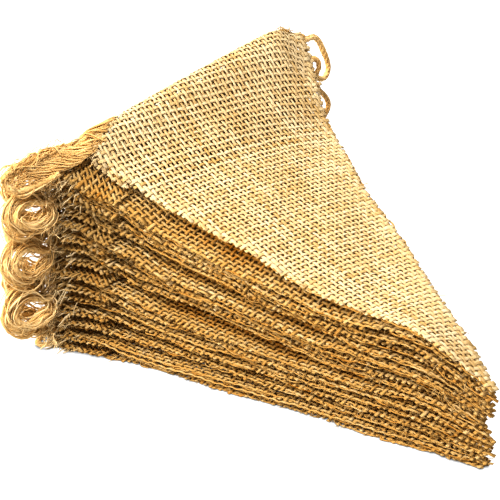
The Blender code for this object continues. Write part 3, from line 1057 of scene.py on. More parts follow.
@dataclass(frozen=True)
class Twine:
    """Three-ply jute twine as one closed surface along a path.

    The section is the outline of three round plies: at angle d from the nearest ply's middle its
    radius is c cos d + sqrt(a^2 - c^2 sin^2 d), where c is how far out the plies stand and a is
    their radius. The section turns once in each lay length as it moves along the path.
    """

    radius: float = TWINE / 2
    ply_radius: float = 0.55
    lay_length: float = 10.5
    fullness: float = 1.15
    spacing: float = 0.8
    sides: int = 18
    lay_strays: Wave = Wave(0.3, 1 / 9.0)
    swells: tuple[Wave, Wave] = (Wave(0.05, 1 / 3.1), Wave(0.04, 1 / 7.7))
    tone: Wave = Wave(0.22, 0.17)
    mean_tone: float = 0.5

    def surface(self, path: np.ndarray, seed: int) -> np.ndarray:
        """The grid of points on the twine, a row for each point of the path.

        Args:
            path: Points along the twine's middle.
            seed: Seed of its small differences in thickness.

        Returns:
            An array of rings.
        """
        random = np.random.default_rng(seed)
        along = directions(path, np.zeros(len(path), dtype=int))
        steady = np.array([0.92, 0.11, 0.37])
        side = unit(np.cross(steady, along))
        up = unit(np.cross(along, side))
        length = lengths_along(path)
        phase = random.uniform(0, 2 * np.pi, 4)
        turn = 2 * np.pi * length / self.lay_length + phase[0] + self.lay_strays.at(length, phase[1])
        angle = 2 * np.pi * np.arange(self.sides) / self.sides
        third = 2 * np.pi / 3
        from_ply = (angle[None] - turn[:, None] + third / 2) % third - third / 2
        ply = self.ply_radius
        out = 1.0 - ply
        lobes = out * np.cos(from_ply) + np.sqrt(ply**2 - (out * np.sin(from_ply)) ** 2)
        thick = 1.0 + self.swells[0].at(length, phase[2]) + self.swells[1].at(length, phase[3])
        reach = self.radius * self.fullness * lobes * thick[:, None]
        ring = np.cos(angle)[None, :, None] * side[:, None] + np.sin(angle)[None, :, None] * up[:, None]
        return path[:, None] + ring * reach[..., None]

    def make(self, name: str, path: np.ndarray, material: bpy.types.Material,
             seed: int) -> bpy.types.Object:
        """The twine as a piece of its own, with a slow change of tone along it.

        Args:
            name: The object's name.
            path: Points along its middle.
            material: Its finish.
            seed: Seed of its small differences.

        Returns:
            The object, at the origin.
        """
        length = lengths_along(path)
        tone = self.mean_tone + self.tone.at(length, seed)
        one_tube = np.zeros(len(path), dtype=int)
        piece = tube_object(name, self.surface(path, seed), one_tube, length, tone, material)
        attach(piece, BODY)
        return piece


@dataclass
class TwineString:
    """The one twine of the string: its run in every heading, its loops and its loose ends."""

    twine: Twine
    finish: bpy.types.Material
    heading_spacing: float = 2.4
    heading_sides: int = 9
    heading_clear: float = 0.3
    path_step: int = 3
    top_seed: int = 31
    bottom_seed: int = 32

    def add_cord(self, node: str, route: np.ndarray, seed: int) -> np.ndarray:
        """One free stretch of twine in the place of its solid.

        Args:
            node: The solid that it replaces.
            route: The route's own points.
            seed: Seed of its small differences.

        Returns:
            The points along its middle.
        """
        path = smooth_route(route, self.twine.spacing)
        cord = self.twine.make(f"jute_{node}", path, self.finish, seed)
        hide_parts(node)
        return path

    def add_heading_run(self, layer: int) -> None:
        """The stretch inside one heading, along the middle of its roll.

        Args:
            layer: The pennant's number from the bottom.
        """
        inset = MOUTH_DEPTH + self.heading_clear
        shape = PennantShape(layer)
        left = -HEADING_HALF - shape.row.corner + inset
        line = shape.roll_middle(np.arange(left, HEADING_HALF - inset, self.heading_spacing))
        plain = Twine(spacing=self.heading_spacing, sides=self.heading_sides)
        name = f"heading_twine_{layer + 1:02d}"
        run = plain.make(f"jute_{name}", line, self.finish, layer)
        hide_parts(name)

    def build(self) -> dict[str, np.ndarray]:
        """Make the loops, the loose ends and the runs in the headings.

        Returns:
            The middle line of each free stretch, by its node's name.
        """
        paths = {}
        for number, loop in enumerate(LOOPS, start=1):
            node = f"twine_loop_{number:02d}"
            paths[node] = self.add_cord(node, loop_route(loop), number)
        top = tail_route(PENNANTS - 1, TAIL_TOP)
        paths["twine_tail_top"] = self.add_cord("twine_tail_top", top, self.top_seed)
        bottom = tail_route(0, TAIL_BOTTOM)
        low_end = self.add_cord("twine_tail_bottom", bottom, self.bottom_seed)
        paths["twine_tail_bottom"] = low_end
        for layer in range(PENNANTS):
            self.add_heading_run(layer)
        return paths


@dataclass(frozen=True)
class Fibre:
    """A kind of loose thread: the least and greatest radius at its root, and the middle and the
    spread of its shade."""

    radius: tuple[float, float]
    tint: tuple[float, float]


@dataclass(frozen=True)
class Tuft:
    """Threads that leave their places.

    Their lengths are a + b r^p for even draws r from 0 to 1, with length = (a, b, p). Droop and
    curl are shares of the length. They start between two places along the pennant, or out of the
    heading. leans holds, for X, Y and Z, a fixed part of the direction, or the middle and the
    spread of the draws.
    """

    count: int
    length: tuple[float, float, float]
    droop: float
    curl: float
    stations: int
    fibre: Fibre
    along: tuple[float, float]
    leans: tuple[float | tuple[float, float], ...]


@dataclass(frozen=True)
class Strands:
    """Threads that keep to a path: the least and greatest share of it that they cover, their
    distance from it, and the spread of the vectors by which they stray."""

    count: int
    span: tuple[float, float]
    reach: tuple[float, float]
    stations: int
    fibre: Fibre
    tangle: float = 0.0


HEADING_TUFT = Tuft(
    24, (2.0, 6.5, 1.4), 0.5, 0.16, 7, Fibre((0.3, 0.55), (0.85, 0.14)),
    along=(-ROLL_ARC - 9.0, 12.0), leans=((-0.05, 0.28), -1.0, (0.0, 0.22)),
)
HANGING_TUFT = Tuft(
    20, (4.0, 4.5, 1.0), 0.1, 0.35, 8, Fibre((0.28, 0.5), (0.97, 0.1)),
    along=(-2.0, 7.0), leans=((0.1, 0.4), (-0.35, 0.35), -1.0),
)
CORNER_FUZZ = Tuft(
    40, (1.5, 1.9, 1.0), 0.3, 0.8, 9, Fibre((0.16, 0.34), (0.55, 0.1)),
    along=(-2.5, 1.0), leans=((0.0, 0.8), (0.0, 0.8), (0.0, 0.8)),
)
WISPS = Tuft(
    10, (1.0, 3.6, 1.5), 0.5, 0.3, 7, Fibre((0.13, 0.28), (0.5, 0.12)),
    along=(14.0, PENNANT_LENGTH - 12.0), leans=((0.1, 0.55), -1.0, (0.0, 0.3)),
)
LINT = Tuft(
    70, (1.2, 4.5, 3.0), 0.3, 0.25, 5, Fibre((0.08, 0.2), (0.55, 0.15)),
    along=(4.0, PENNANT_LENGTH - 2.0), leans=((0.0, 0.6), 1.0, (-0.1, 0.4)),
)

# How far inside the cut sides threads start, how far they are scattered round their places, how
# much the heading's threads follow the cloth's normal, and the share of lint at the left
HEADING_INSIDE = (0.5, 6.0)
HEADING_FOLLOWS = 0.15
HANGING_SCATTER = (1.76, 0.55, 0.88)
FUZZ_ACROSS = (56.0, 61.0)
WISP_PLACES = 2
WISP_INSIDE = 0.8
WISP_SCATTER = 2.2
LINT_INSIDE = 0.6
LINT_LEFT = 0.6

COIL_PLIES = Strands(13, (0.4, 0.98), (1.35, 2.6), 46, Fibre((0.42, 0.66), (0.72, 0.18)), 1.0)
COIL_FUZZ = Strands(18, (0.12, 0.45), (1.5, 4.2), 30, Fibre((0.12, 0.28), (0.7, 0.14)))
LOOP_PLIES = Strands(5, (0.7, 0.98), (0.9, 1.3), 40, Fibre((0.4, 0.6), (0.5, 0.1)))
TAIL_PLIES = Strands(24, (0.25, 0.6), (1.1, 2.1), 40, Fibre((0.4, 0.6), (0.3, 0.14)))
TAIL_FUZZ = Strands(46, (0.1, 0.35), (1.2, 4.2), 24, Fibre((0.1, 0.24), (0.45, 0.12)))


@dataclass(frozen=True)
class Bundle:
    """The bundle of strands at the top left corner. begins and ends hold a, b and p for places
    a + b r^p along the headings, and root the nearest strand's place on the cloth and the step
    from it to the farthest one's."""

    count: int = 150
    stations: int = 32
    begins: tuple[float, float, float] = (-67.0, 20.0, 3.5)
    ends: tuple[float, float, float] = (-80.0, -27.0, 0.9)
    begins_near: tuple[float, float] = (42.0, 62.0)
    leaves: tuple[float, float] = (HEADING_HALF - 6.0, HEADING_HALF + 7.0)
    root: tuple[float, float] = (-2.0, 10.0)
    back_to: tuple[float, float] = (9.0, 2.0 - HEADING_HALF)
    on_cloth: float = 0.4
    turns: float = 0.75
    spiral: float = 0.1
    weight: float = 0.46
    thin: float = 0.2
    thick: float = 0.9
    swells_over: tuple[float, float] = (50.0, 54.0)
    twist_lift: float = 2.0
    sinks: float = 0.3
    aside: tuple[Wave, Wave] = (Wave(0.6, 3.1), Wave(0.45, 11.0))
    lift: Wave = Wave(0.3, 9.0)
    fibre: Fibre = Fibre((0.3, 0.62), (0.36, 0.16))


@dataclass(frozen=True)
class Rim:
    """The short runs of yarn along the cut sides: where they begin and end, how far they stand
    from the cut side and under the cloth, how these wander, and their radius."""

    count: int = 46
    stations: int = 18
    begins: float = 8.0
    ends_short: float = 12.0
    stops_short: float = 3.0
    length: tuple[float, float] = (5.0, 20.0)
    ranks: float = 2.0
    rank_aside: float = 0.3
    rank_below: float = 0.42
    outside: float = 0.2
    below: float = 0.3
    dip: float = 1.3
    aside: tuple[Wave, Wave] = (Wave(0.4, 1 / 2.6), Wave(0.25, 1 / 1.3))
    depth: Wave = Wave(0.3, 1 / 2.1)
    radius: float = 0.36
    swell: Wave = Wave(0.07, 1 / 3.7)
    tint: tuple[float, float] = (0.4, 0.1)


@dataclass(frozen=True)
class UnderSide:
    """The long yarns under the top pennant's right side: where they run, the first one's depth in
    from the cut side and below the cloth, and the steps from one to the next."""

    count: int = 11
    stations: int = 60
    begins: float = 13.0
    ends_short: float = 14.0
    depth: float = 1.6
    depth_step: float = 1.55
    clear: float = 1.0
    below: float = 2.1
    below_step: float = 0.12
    wander: Wave = Wave(0.5, 1 / 9.0)
    wave: Wave = Wave(0.25, 1 / 6.0)
    radius: float = 0.78
    # Their tint lies near the dark tone: painted shade, since these yarns lie in the shade under the top
    # pennant and show through its holes.
    tint: tuple[float, float] = (0.08, 0.04)


def even(stations: int) -> np.ndarray:
    """Even shares from 0 to 1, as one row."""
    return np.linspace(0.0, 1.0, stations)[None]


@dataclass
class LooseThreads:
    """Threads and fibres that have worked loose: tufts, strands along the twine, and lint."""

    finishes: dict[str, bpy.types.Material]
    seed: int = 7
    lowest: float = 0.4
    thread_sides: int = 4
    taper: float = 0.6
    curl_turns: tuple[float, float] = (0.4, 1.3)
    curl_varies: tuple[float, float] = (0.3, 1.0)
    fall_varies: tuple[float, float] = (0.2, 1.3)
    most_turns: float = 1.2
    winding: Wave = Wave(0.5, 9.0)
    distance: Wave = Wave(0.35, 7.0)

    def __post_init__(self) -> None:
        """Set up the random source."""
        self.random = np.random.default_rng(self.seed)

    def phases(self, rows: int, count: int) -> np.ndarray:
        """Random phases from 0 to 2 pi, rows of them with one for each thread."""
        return self.random.uniform(0, 2 * np.pi, (rows, count, 1))

    def drawn(self, spread: tuple[float, float, float], shape: int | tuple[int, int]) -> np.ndarray:
        """Values a + b r^p for even draws r from 0 to 1.

        Args:
            spread: The numbers a, b and p.
            shape: The shape of the array wanted.

        Returns:
            The values.
        """
        start, more, power = spread
        return start + more * self.random.random(shape) ** power

    def leaning(self, count: int, *axes: float | np.ndarray | tuple[float, float]) -> np.ndarray:
        """Vectors whose parts are fixed, or drawn from a normal spread.

        Args:
            count: How many vectors.
            *axes: For X, Y and Z a number or an array, or the middle and the spread of the draws.

        Returns:
            The vectors, one to a row.
        """
        parts = [self.random.normal(*axis, count) if isinstance(axis, tuple) else axis * np.ones(count)
                 for axis in axes]
        return np.stack(parts, axis=1)

    def above_floor(self, grid: np.ndarray) -> np.ndarray:
        """The same points, with none lower than a thread's own radius over the floor."""
        grid[..., 2] = np.maximum(grid[..., 2], self.lowest)
        return grid

    def threads(self, grid: np.ndarray, fibre: Fibre) -> TubeSet:
        """Tubes on a grid that taper to their ends, as r (1 - taper u^2).

        Args:
            grid: The points, thread by station.
            fibre: The kind of thread.

        Returns:
            The threads as tubes.
        """
        count, stations = grid.shape[:2]
        size = self.random.uniform(*fibre.radius, (count, 1)) * (1.0 - self.taper * even(stations) ** 2)
        return tubes_on(grid, size, self.shades(fibre.tint, count), self.thread_sides)

    def shades(self, tint: tuple[float, float], count: int) -> np.ndarray:
        """One shade for each thread, drawn round the middle and kept from 0 to 1."""
        return np.clip(self.random.normal(*tint, count), 0.0, 1.0)

    def tuft(self, kind: Tuft, start: np.ndarray, towards: np.ndarray) -> TubeSet:
        """Threads that leave their places, droop and curl.

        A point at share u is start + L u out - droop L u^2 up + curl L u (cos, sin)(2 pi f u + p)
        across two directions square to out.

        Args:
            kind: The kind of tuft.
            start: Where each thread starts.
            towards: The direction in which it leaves, of any length.

        Returns:
            The threads as tubes.
        """
        count = kind.count
        out = unit(towards)
        u = even(kind.stations)[..., None]
        reach = self.drawn(kind.length, count)[:, None, None] * u
        steady = np.array([0.31, 0.12, 0.94])
        first = unit(np.cross(out, steady))
        second = np.cross(out, first)
        phase = self.random.uniform(0, 2 * np.pi, (count, 1, 1))
        turns = self.random.uniform(*self.curl_turns, (count, 1, 1))
        amount = kind.curl * self.random.uniform(*self.curl_varies, (count, 1, 1)) * reach
        angle = 2 * np.pi * turns * u + phase
        across = np.cos(angle) * first[:, None] + np.sin(angle) * second[:, None]
        fall = kind.droop * self.random.uniform(*self.fall_varies, (count, 1, 1)) * reach * u
        down = np.array([0.0, 0.0, -1.0])
        grid = start[:, None] + out[:, None] * reach + across * amount + fall * down
        return self.threads(self.above_floor(grid), kind.fibre)

    def along_path(self, path: np.ndarray, kind: Strands) -> np.ndarray:
        """Threads that keep to a path, each winding slowly round it at its own distance.

        Each also strays from the path by a sin(pi u) + b sin(3 pi u) for its own vectors a and b.

        Args:
            path: The path's points.
            kind: The kind of strands.

        Returns:
            The grid of points, thread by station.
        """
        count = kind.count
        kept = self.random.uniform(*kind.span, (count, 1))
        begins = self.random.uniform(0.0, 1.0, (count, 1)) * (1.0 - kept)
        u = even(kind.stations)
        share = (begins + kept * u) * (len(path) - 1)
        point = np.stack([np.interp(share, np.arange(len(path)), path[:, k]) for k in range(3)], axis=-1)
        along = unit(np.gradient(point, axis=1))
        steady = np.array([1.0, 0.05, 0.1])
        first = unit(np.cross(along, steady))
        second = np.cross(along, first)
        phase = self.phases(3, count)
        turns = self.random.uniform(-self.most_turns, self.most_turns, (count, 1))
        angle = phase[0] + 2 * np.pi * turns * u + self.winding.at(u, phase[1])
        away = self.random.uniform(*kind.reach, (count, 1)) * (1.0 + self.distance.at(u, phase[2]))
        offset = np.cos(angle)[..., None] * first + np.sin(angle)[..., None] * second
        strays = self.random.normal(0.0, kind.tangle, (2, count, 1, 3))
        once, thrice = np.sin(np.pi * u[..., None]), np.sin(3.0 * np.pi * u[..., None])
        return self.above_floor(point + away[..., None] * offset + strays[0] * once + strays[1] * thrice)

    def heading_tuft(self, layer: int) -> TubeSet:
        """Weft yarns that hang out of a heading's left end, from round the whole roll.

        Args:
            layer: The pennant.

        Returns:
            The threads as tubes.
        """
        shape = PennantShape(layer)
        count = HEADING_TUFT.count
        s = self.random.uniform(*HEADING_TUFT.along, count)
        t = -shape.side(s, -np.ones(count)) + self.random.uniform(*HEADING_INSIDE, count)
        start, normal = shape.surface(s, t)
        out = self.leaning(count, *HEADING_TUFT.leans) + HEADING_FOLLOWS * normal
        return self.tuft(HEADING_TUFT, start, out)

    def top_bundle(self, tail: np.ndarray, bundle: Bundle) -> TubeSet:
        """The thick bundle of strands that leaves the top heading along its loose end.

        The strands wind round each other as one loose twist: at turn a and share r from the
        middle, a strand has the weight w = 0.5 + weight r cos(a) and stands r sin(a) up. It lies
        on the top pennant between the two places of root, at share w g, where g is 0 for strands
        that begin far from the corner. It leaves over the left corner and runs on at out +
        w (back - out) between the loose end's two sides, read at the same distance to the left.

        Args:
            tail: The points along the loose end.
            bundle: The bundle's sizes.

        Returns:
            The strands as tubes.
        """
        shape = PennantShape(PENNANTS - 1)
        count = bundle.count
        u = even(bundle.stations)
        apart = np.sqrt(self.random.random((count, 1)))
        spin = self.random.uniform(0.0, 2 * np.pi, (count, 1))
        spin = spin + 2 * np.pi * (bundle.turns * u + bundle.spiral * apart)
        weight = 0.5 + bundle.weight * apart * np.cos(spin)
        begins = self.drawn(bundle.begins, (count, 1))
        left = begins + (self.drawn(bundle.ends, (count, 1)) - begins) * u
        far = int(np.argmin(tail[:, 1]))
        corner = shape.middle(*(np.array([place]) for place in bundle.back_to))
        out, back = (
            np.stack([np.interp(left, strand[:, 1], strand[:, k]) for k in (0, 2)], axis=-1)
            for strand in (tail[far::-1], np.concatenate([tail[far:], corner]))
        )
        free = out + weight[..., None] * (back - out)
        root = bundle.root[0] + bundle.root[1] * weight * smoothstep(*bundle.begins_near, -begins)
        laid, _ = shape.surface(root, np.maximum(left, 1.0 - HEADING_HALF))
        laid = laid[..., [0, 2]]
        leaves = smoothstep(*bundle.leaves, -left)[..., None]
        plan = laid + np.array([0.0, bundle.on_cloth]) + leaves * (free - laid)
        phase = self.phases(3, count)
        swells_from, swells_over = bundle.swells_over
        swell = np.sin(np.pi * np.clip((-left - swells_from) / swells_over, 0.0, 1.0))
        wide = bundle.thin + bundle.thick * swell
        aside = wide * (bundle.aside[0].at(u, phase[0]) + bundle.aside[1].at(u, phase[1]))
        lift = bundle.twist_lift * apart * np.sin(spin) + bundle.lift.at(u, phase[2]) - bundle.sinks
        grid = np.stack([plan[..., 0] + aside, left, plan[..., 1] + wide * lift], axis=-1)
        return self.threads(grid, bundle.fibre)

    def hanging_tuft(self, layer: int) -> TubeSet:
        """Strands that hang from a heading's left end down to the end below, by the twine.

        Args:
            layer: The pennant.

        Returns:
            The strands as tubes.
        """
        end, outward = PennantShape(layer).heading_end(-1)
        count = HANGING_TUFT.count
        away = self.random.uniform(*HANGING_TUFT.along, (count, 1))
        start = end + outward * away + self.random.normal(0.0, HANGING_SCATTER, (count, 3))
        return self.tuft(HANGING_TUFT, start, self.leaning(count, *HANGING_TUFT.leans))

    def corner_fuzz(self) -> TubeSet:
        """A small ball of fibre ends on the top heading near its right end.

        Returns:
            The fibres as tubes.
        """
        count = CORNER_FUZZ.count
        s = self.random.uniform(*CORNER_FUZZ.along, count)
        across = self.random.uniform(*FUZZ_ACROSS, count)
        start, normal = PennantShape(PENNANTS - 1).surface(s, across)
        middle, spread = np.transpose(CORNER_FUZZ.leans)
        return self.tuft(CORNER_FUZZ, start, normal + self.random.normal(middle, spread, (count, 3)))

    def wisps(self, layer: int) -> TubeSet:
        """Yarns pulled out of the left cut side in small groups, hanging over the side.

        Args:
            layer: The pennant.

        Returns:
            The yarns as tubes.
        """
        shape = PennantShape(layer)
        count = WISPS.count
        groups = self.random.uniform(*WISPS.along, WISP_PLACES)
        s = np.repeat(groups, count // WISP_PLACES) + self.random.normal(0.0, WISP_SCATTER, count)
        start, _ = shape.surface(s, -shape.side(s, -np.ones(count)) + WISP_INSIDE)
        return self.tuft(WISPS, start, self.leaning(count, *WISPS.leans))

    def lint(self, layer: int) -> TubeSet:
        """Short fine fibres that stand off both cut sides of a pennant, more of them at the left.

        Args:
            layer: The pennant.

        Returns:
            The fibres as tubes.
        """
        shape = PennantShape(layer)
        count = LINT.count
        s = self.random.uniform(*LINT.along, count)
        hand = np.where(self.random.random(count) < LINT_LEFT, -1.0, 1.0)
        start, _ = shape.surface(s, hand * (shape.side(s, hand) - LINT_INSIDE))
        forward, outward, upward = LINT.leans
        return self.tuft(LINT, start, self.leaning(count, forward, hand * outward, upward))

    def rim(self, layer: int, rim: Rim) -> TubeSet:
        """Short runs of yarn worked loose along both cut sides, just under the cloth.

        Their distance from the cut side and their depth below the cloth wander as sums of
        sines, and both ends dip back into the cloth as (2u - 1)^4.

        Args:
            layer: The pennant.
            rim: The runs' sizes.

        Returns:
            The runs as tubes.
        """
        shape = PennantShape(layer)
        count = rim.count
        u = even(rim.stations)
        first = self.random.uniform(rim.begins, PENNANT_LENGTH - rim.ends_short, (count, 1))
        s = first + self.random.uniform(*rim.length, (count, 1)) * u
        s = np.minimum(s, PENNANT_LENGTH - rim.stops_short)
        hand = np.where(np.arange(count) % 2 == 0, -1.0, 1.0)[:, None]
        rank = self.random.uniform(0.0, rim.ranks, (count, 1))
        phase = self.phases(3, count)
        aside = rim.aside[0].at(s, phase[0]) + rim.aside[1].at(s, phase[1]) - rim.rank_aside * rank
        aside = aside - rim.dip * (2.0 * u - 1.0) ** 4
        point, normal = shape.surface(s, hand * (shape.side(s, hand) + rim.outside + aside))
        below = rim.below + rim.rank_below * rank + rim.depth.at(s, phase[2])
        radius = rim.radius + rim.swell.at(s, phase[0])
        grid = self.above_floor(point - normal * below[..., None])
        return tubes_on(grid, radius, self.shades(rim.tint, count), self.thread_sides)

    def under_side(self, yarns: UnderSide) -> TubeSet:
        """Long yarns that lie loose under the top pennant along its right side.

        Args:
            yarns: The yarns' sizes.

        Returns:
            The yarns as tubes.
        """
        shape = PennantShape(PENNANTS - 1)
        count = yarns.count
        rank = np.arange(count)[:, None]
        s = np.linspace(yarns.begins, PENNANT_LENGTH - yarns.ends_short, yarns.stations)
        s = np.tile(s, (count, 1))
        phase = self.phases(2, count)
        depth = yarns.depth + yarns.depth_step * rank + yarns.wander.at(s, phase[0])
        depth = np.minimum(depth, shape.side(s, s) - yarns.clear)
        point, normal = shape.surface(s, shape.side(s, s) - depth)
        below = yarns.below + yarns.below_step * rank + yarns.wave.at(s, phase[1])
        grid = point - normal * below[..., None]
        radius = np.full(s.shape, yarns.radius)
        return tubes_on(grid, radius, self.shades(yarns.tint, count), self.thread_sides)

    def add(self, name: str, parts: list[TubeSet], slot: str) -> bpy.types.Object:
        """Write several sets of threads as one piece that rides with the stack.

        Args:
            name: The piece's name.
            parts: The sets of threads.
            slot: The material slot that it takes its finish from.

        Returns:
            The piece.
        """
        piece = joined(parts).to_object(name, self.finishes[slot])
        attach(piece, BODY)
        return piece

    def add_strands(self, number: int, loop: Loop, path: np.ndarray) -> None:
        """The loose plies round one loop, and at the left also fuzz and hanging strands.

        Args:
            number: The loop's number from the bottom.
            loop: The loop's row.
            path: The points along its middle.
        """
        kinds = (COIL_PLIES, COIL_FUZZ) if loop.end < 0 else (LOOP_PLIES,)
        grids = [self.along_path(path, kind) for kind in kinds]
        parts = [self.threads(grid, kind.fibre) for grid, kind in zip(grids, kinds)]
        if loop.end < 0:
            parts += [self.hanging_tuft(loop.lower), self.hanging_tuft(loop.lower + 1)]
        self.add(f"loose_strands_{number:02d}", parts, TWINE_SLOT)

    def build(self, paths: dict[str, np.ndarray]) -> list[bpy.types.Object]:
        """Make the loose threads of every pennant and along the twine.

        Args:
            paths: The middle line of each free stretch of twine, by its node's name.

        Returns:
            One piece for each pennant, from the bottom.
        """
        pieces = []
        for layer in range(PENNANTS):
            parts = [self.heading_tuft(layer), self.rim(layer, Rim()), self.lint(layer), self.wisps(layer)]
            if layer == PENNANTS - 1:
                parts.append(self.under_side(UnderSide()))
            pieces.append(self.add(f"frayed_threads_{layer + 1:02d}", parts, BURLAP_SLOT))
        for number, loop in enumerate(LOOPS, start=1):
            self.add_strands(number, loop, paths[f"twine_loop_{number:02d}"])
        tail = paths["twine_tail_top"]
        fuzz = self.along_path(tail, TAIL_FUZZ)
        plies = self.along_path(tail, TAIL_PLIES)
        parts = [self.top_bundle(tail, Bundle()), self.threads(plies, TAIL_PLIES.fibre),
                 self.threads(fuzz, TAIL_FUZZ.fibre), self.hanging_tuft(PENNANTS - 1)]
        self.add("top_bundle", parts, TWINE_SLOT)
        self.add("corner_fuzz", [self.corner_fuzz()], BURLAP_SLOT)
        return pieces


# The streaks' noise: its stretch along the yarn, how far apart the yarns' tints take it, and its
# detail. Then the broad noise, the roughness from the streaks and the depth of their relief.
STREAK_STRETCH = 0.6
STREAKS_APART = 90.0
STREAK_DETAIL = 3.0
BROAD_SCALE = 55.0
BROAD_DETAIL = 2.0
ROUGH_VARIES = 0.25
SMOOTHEST = 0.68
RELIEF_DEPTH = 0.15 * MM
SPECULAR = 0.05


def fibre_group() -> bpy.types.ShaderNodeTree:
    """Twisted fibres round a yarn: streaks that wind round it, over a slow change of tone.

    The streaks are a noise on the point (cos a, sin a) of the unit circle, where a is the turn
    round the yarn plus the twist times the length along it, so they have no seam. The tone is
    the yarn's own tint plus shares of the streaks and of a broad noise on object coordinates,
    and it runs from dark through middle to pale.

    Returns:
        The node group.
    """
    group = bpy.data.node_groups.new("jute_fibres", "ShaderNodeTree")
    face = group.interface
    for name in ("Dark", "Middle", "Pale"):
        face.new_socket(name, in_out="INPUT", socket_type="NodeSocketColor")
    for name in ("Twist", "Streaks", "Patches", "Fineness"):
        face.new_socket(name, in_out="INPUT", socket_type="NodeSocketFloat")
    face.new_socket("Color", in_out="OUTPUT", socket_type="NodeSocketColor")
    for name in ("Roughness", "Height"):
        face.new_socket(name, in_out="OUTPUT", socket_type="NodeSocketFloat")
    nodes, links = group.nodes, group.links
    given = nodes.new("NodeGroupInput")
    result = nodes.new("NodeGroupOutput")

    def maths(operation: str, *values: object) -> bpy.types.NodeSocket:
        """A Math node.

        Args:
            operation: What it works out.
            *values: Its inputs in order, sockets or plain numbers.

        Returns:
            Its output.
        """
        node = nodes.new("ShaderNodeMath")
        node.operation = operation
        for socket, value in zip(node.inputs, values):
            if isinstance(value, bpy.types.NodeSocket):
                links.new(value, socket)
            else:
                socket.default_value = value
        return node.outputs[0]

    uv = nodes.new("ShaderNodeUVMap")
    uv.uv_map = "UVMap"
    parts = nodes.new("ShaderNodeSeparateXYZ")
    links.new(uv.outputs["UV"], parts.inputs[0])
    tint = nodes.new("ShaderNodeAttribute")
    tint.attribute_name = "tint"
    turn = maths("MULTIPLY", parts.outputs["X"], 2 * np.pi)
    angle = maths("MULTIPLY_ADD", parts.outputs["Y"], given.outputs["Twist"], turn)
    circle = nodes.new("ShaderNodeCombineXYZ")
    links.new(maths("COSINE", angle), circle.inputs["X"])
    links.new(maths("SINE", angle), circle.inputs["Y"])
    links.new(maths("MULTIPLY", parts.outputs["Y"], STREAK_STRETCH), circle.inputs["Z"])
    streak = nodes.new("ShaderNodeTexNoise")
    streak.noise_dimensions = "4D"
    links.new(circle.outputs[0], streak.inputs["Vector"])
    links.new(maths("MULTIPLY", tint.outputs["Fac"], STREAKS_APART), streak.inputs["W"])
    links.new(given.outputs["Fineness"], streak.inputs["Scale"])
    streak.inputs["Detail"].default_value = STREAK_DETAIL
    place = nodes.new("ShaderNodeTexCoord")
    broad = nodes.new("ShaderNodeTexNoise")
    links.new(place.outputs["Object"], broad.inputs["Vector"])
    broad.inputs["Scale"].default_value = BROAD_SCALE
    broad.inputs["Detail"].default_value = BROAD_DETAIL
    tone = tint.outputs["Fac"]
    for noise, share in ((streak, "Streaks"), (broad, "Patches")):
        centred = maths("SUBTRACT", noise.outputs["Fac"], 0.5)
        tone = maths("ADD", tone, maths("MULTIPLY", centred, given.outputs[share]))
    colour = given.outputs["Dark"]
    for shift, name in ((0.0, "Middle"), (-1.0, "Pale")):
        mix = nodes.new("ShaderNodeMix")
        mix.data_type = "RGBA"
        links.new(maths("MULTIPLY_ADD", tone, 2.0, shift), mix.inputs["Factor"])
        links.new(colour, mix.inputs["A"])
        links.new(given.outputs[name], mix.inputs["B"])
        colour = mix.outputs["Result"]
    links.new(colour, result.inputs["Color"])
    rough = maths("MULTIPLY_ADD", streak.outputs["Fac"], ROUGH_VARIES, SMOOTHEST)
    links.new(rough, result.inputs["Roughness"])
    links.new(streak.outputs["Fac"], result.inputs["Height"])
    return group


@dataclass(frozen=True)
class JuteFinish:
    """Dry jute fibre: three tones, the slope of its twist and how much the tones vary."""

    name: str
    dark: tuple[float, float, float]
    middle: tuple[float, float, float]
    pale: tuple[float, float, float]
    twist: float
    streaks: float
    patches: float
    fineness: float
    relief: float

    def make(self, fibres: bpy.types.ShaderNodeTree) -> bpy.types.Material:
        """The finish as a material.

        Args:
            fibres: The shared group of twisted fibres.

        Returns:
            The material.
        """
        material = bpy.data.materials.new(self.name)
        material.use_nodes = True
        nodes, links = material.node_tree.nodes, material.node_tree.links
        shader = nodes["Principled BSDF"]
        group = nodes.new("ShaderNodeGroup")
        group.node_tree = fibres
        for socket, colour in (("Dark", self.dark), ("Middle", self.middle), ("Pale", self.pale)):
            group.inputs[socket].default_value = (*colour, 1.0)
        for socket in ("Twist", "Streaks", "Patches", "Fineness"):
            group.inputs[socket].default_value = getattr(self, socket.lower())
        bump = nodes.new("ShaderNodeBump")
        bump.inputs["Strength"].default_value = self.relief
        bump.inputs["Distance"].default_value = RELIEF_DEPTH
        links.new(group.outputs["Color"], shader.inputs["Base Color"])
        links.new(group.outputs["Roughness"], shader.inputs["Roughness"])
        links.new(group.outputs["Height"], bump.inputs["Height"])
        links.new(bump.outputs["Normal"], shader.inputs["Normal"])
        shader.inputs["Specular IOR Level"].default_value = SPECULAR
        return material


def stand(piece: bpy.types.Object, right: np.ndarray, up: np.ndarray, back: np.ndarray,
          place: np.ndarray) -> None:
    """Turn an object and put it in its place.

    Args:
        piece: The object.
        right: Where its own X points.
        up: Where its own Y points.
        back: Where its own Z points.
        place: Its place in metres.
    """
    rows = np.stack([right, up, back, place], axis=1).tolist()
    piece.matrix_world = Matrix([*rows, [0.0, 0.0, 0.0, 1.0]])


